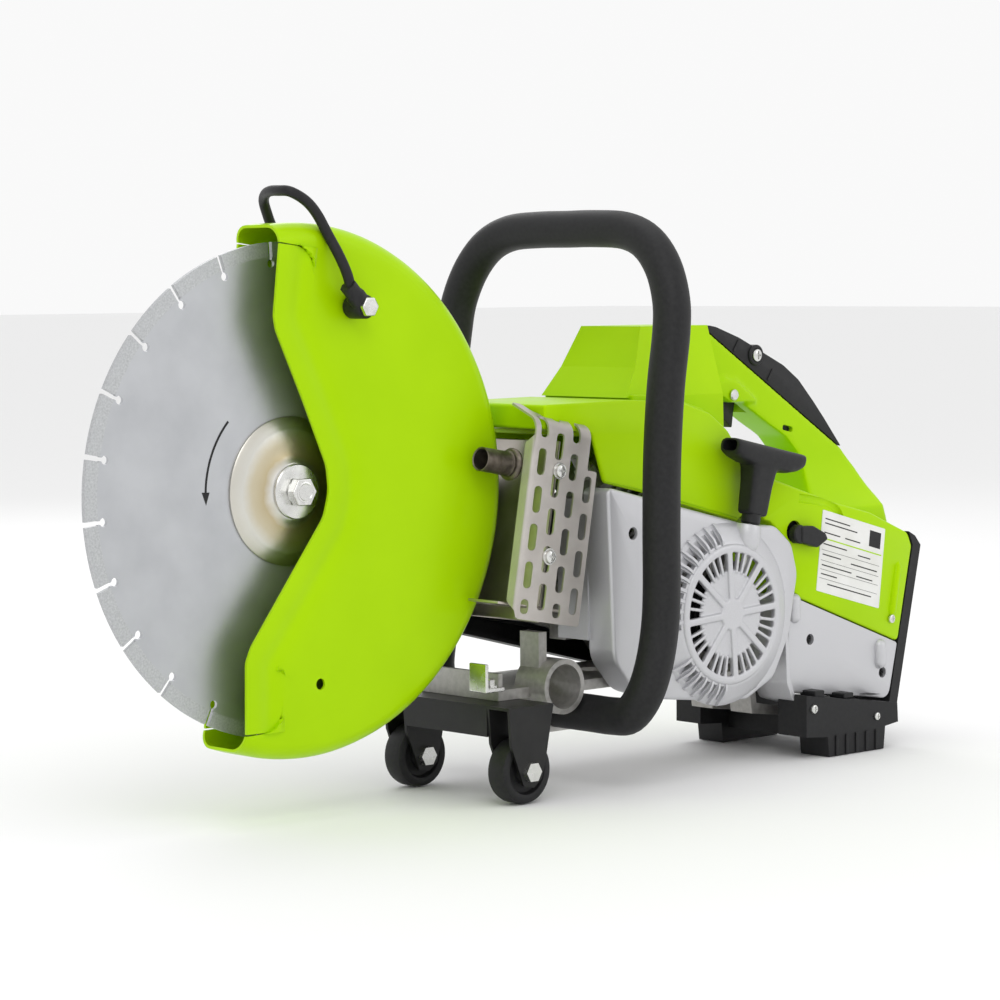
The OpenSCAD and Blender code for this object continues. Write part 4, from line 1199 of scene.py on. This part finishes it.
# ---- Screws ----
def make_screws():
    shield = []
    for z in (-37, -100):
        shield += [
            screw_head("screw", LEANED @ place(27, -71.2, z) @ TO_NEAR, 5.2),
            spin("washer", [(2.4, 0), (6.2, 0), (6.2, 1.2), (2.4, 1.2), (2.4, 0)],
                 LEANED @ place(27, -70.1, z) @ TO_NEAR, 32),
            spin("shank", [(0.05, 0), (2.3, 0), (2.3, 12), (0.05, 12)], LEANED @ place(27, -70, z) @ TO_FAR,
                 20),
        ]
    belt = [screw_head("screw", place(x, 60.8, z) @ TO_FAR, 4.6)
            for x, z in ((-262, 275), (-262, 189), (96, 172),
                                                                               (84, 102))]
    finish_piece(join("bright_screws", shield + belt), "machine", "zinc", ["cover_screws"])
    sunk = [screw_head("screw", place(x, -66.5, z) @ TO_NEAR, 3.9) for x, z in SCREW_HOLES]
    sunk += [screw_head("screw", place(x, -60.5, z) @ TO_NEAR, 3.9) for x, z in CASING_HOLES]
    finish_piece(join("sunk_screws", sunk), "machine", "dark_steel", ["cover_screws"])


make_screws()


# ---- Base, wheels and feet ----
def make_wheel(body):
    low, high = (Vector(corner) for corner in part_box(body))
    centre = (low + high) / 2
    tread = lathe(body + "_tyre", centre, [
        (r * MM, h * MM) for r, h in (
            (4.1, -9), (8.4, -9), (9.2, -8.2), (9.4, -5.2), (15.6, -5.2), (17.2, -8.6), (18.4, -9),
            (21.6, -9),
            (23.2, -8), (24, -5.4), (24, 5.4), (23.2, 8), (21.6, 9), (18.4, 9), (17.2, 8.6), (15.6, 5.2),
            (9.4, 5.2), (9.2, 8.2), (8.4, 9), (4.1, 9), (4.1, -9))], 64, None, 35)
    finish_piece(tread, body, "black_rubber", [body])


def make_base():
    make_wheel("wheel_near")
    make_wheel("wheel_far")
    for name, width, segments in (
        ("wheel_bracket", 0.0007, 2), ("axle_bolts", 0.0010, 2), ("base_frame", 0.0014, 3),
        ("handle_clamp", 0.0014, 3),
        ("rear_feet", 0.0016, 3), ("back_strip", 0.0018, 3), ("belt_cover", 0.0018, 4),
        ("stop_switch", 0.0009, 3),
        ("fuel_cap", 0.0008, 3), ("drive_arm", 0.0015, 3), ("crankcase", 0.0012, 3),
    ):
        soften_edges(name, width, segments)
    # Teeth on top of each rear foot and ribs on its outer side
    teeth = [block("tooth", (x, y, 0.044), (x + 0.012, y + 0.016, z), 0.0012)
             for y in (-0.078, 0.042) for x, z in ((0.250, 0.0535), (0.285, 0.0485), (0.318, 0.044))]
    ribs = [block("rib", (x, y, 0.0005), (x + 0.003, y + 0.0014, 0.0165), 0.0005, 2)
            for y in (-0.0812, 0.0608) for x in (0.272, 0.284, 0.296, 0.308, 0.320)]
    finish_piece(join("foot_teeth", teeth + ribs), "machine", "black_rubber")
    clip = plate("corner_clip",
                 mm([(-79, 80, 1), (-79, 101, 1), (-76, 101, 1), (-76, 83, 2), (-60, 83, 1), (-60, 80, 1)]),
                 -0.052, -0.034, 0, 0.0006, 2)
    nut = spin("clip_bolt",
               [(0.05, 0), (6.4, 0), (6.4, 1.4), (4.6, 1.6), (4.6, 5.4), (3.6, 6.2), (0.05, 6.2)],
               place(-68, -43, 83), 6, 25)
    finish_piece(join("corner_clip_zinc", [clip, nut]), "machine", "zinc")
    foot_screws = [screw_head("screw", place(x, -80.2, z) @ TO_NEAR, r)
                   for x, z, r in ((246, 40, 3.6), (322, 27, 3.2))]
    finish_piece(join("foot_screws", foot_screws), "machine", "zinc")


make_base()
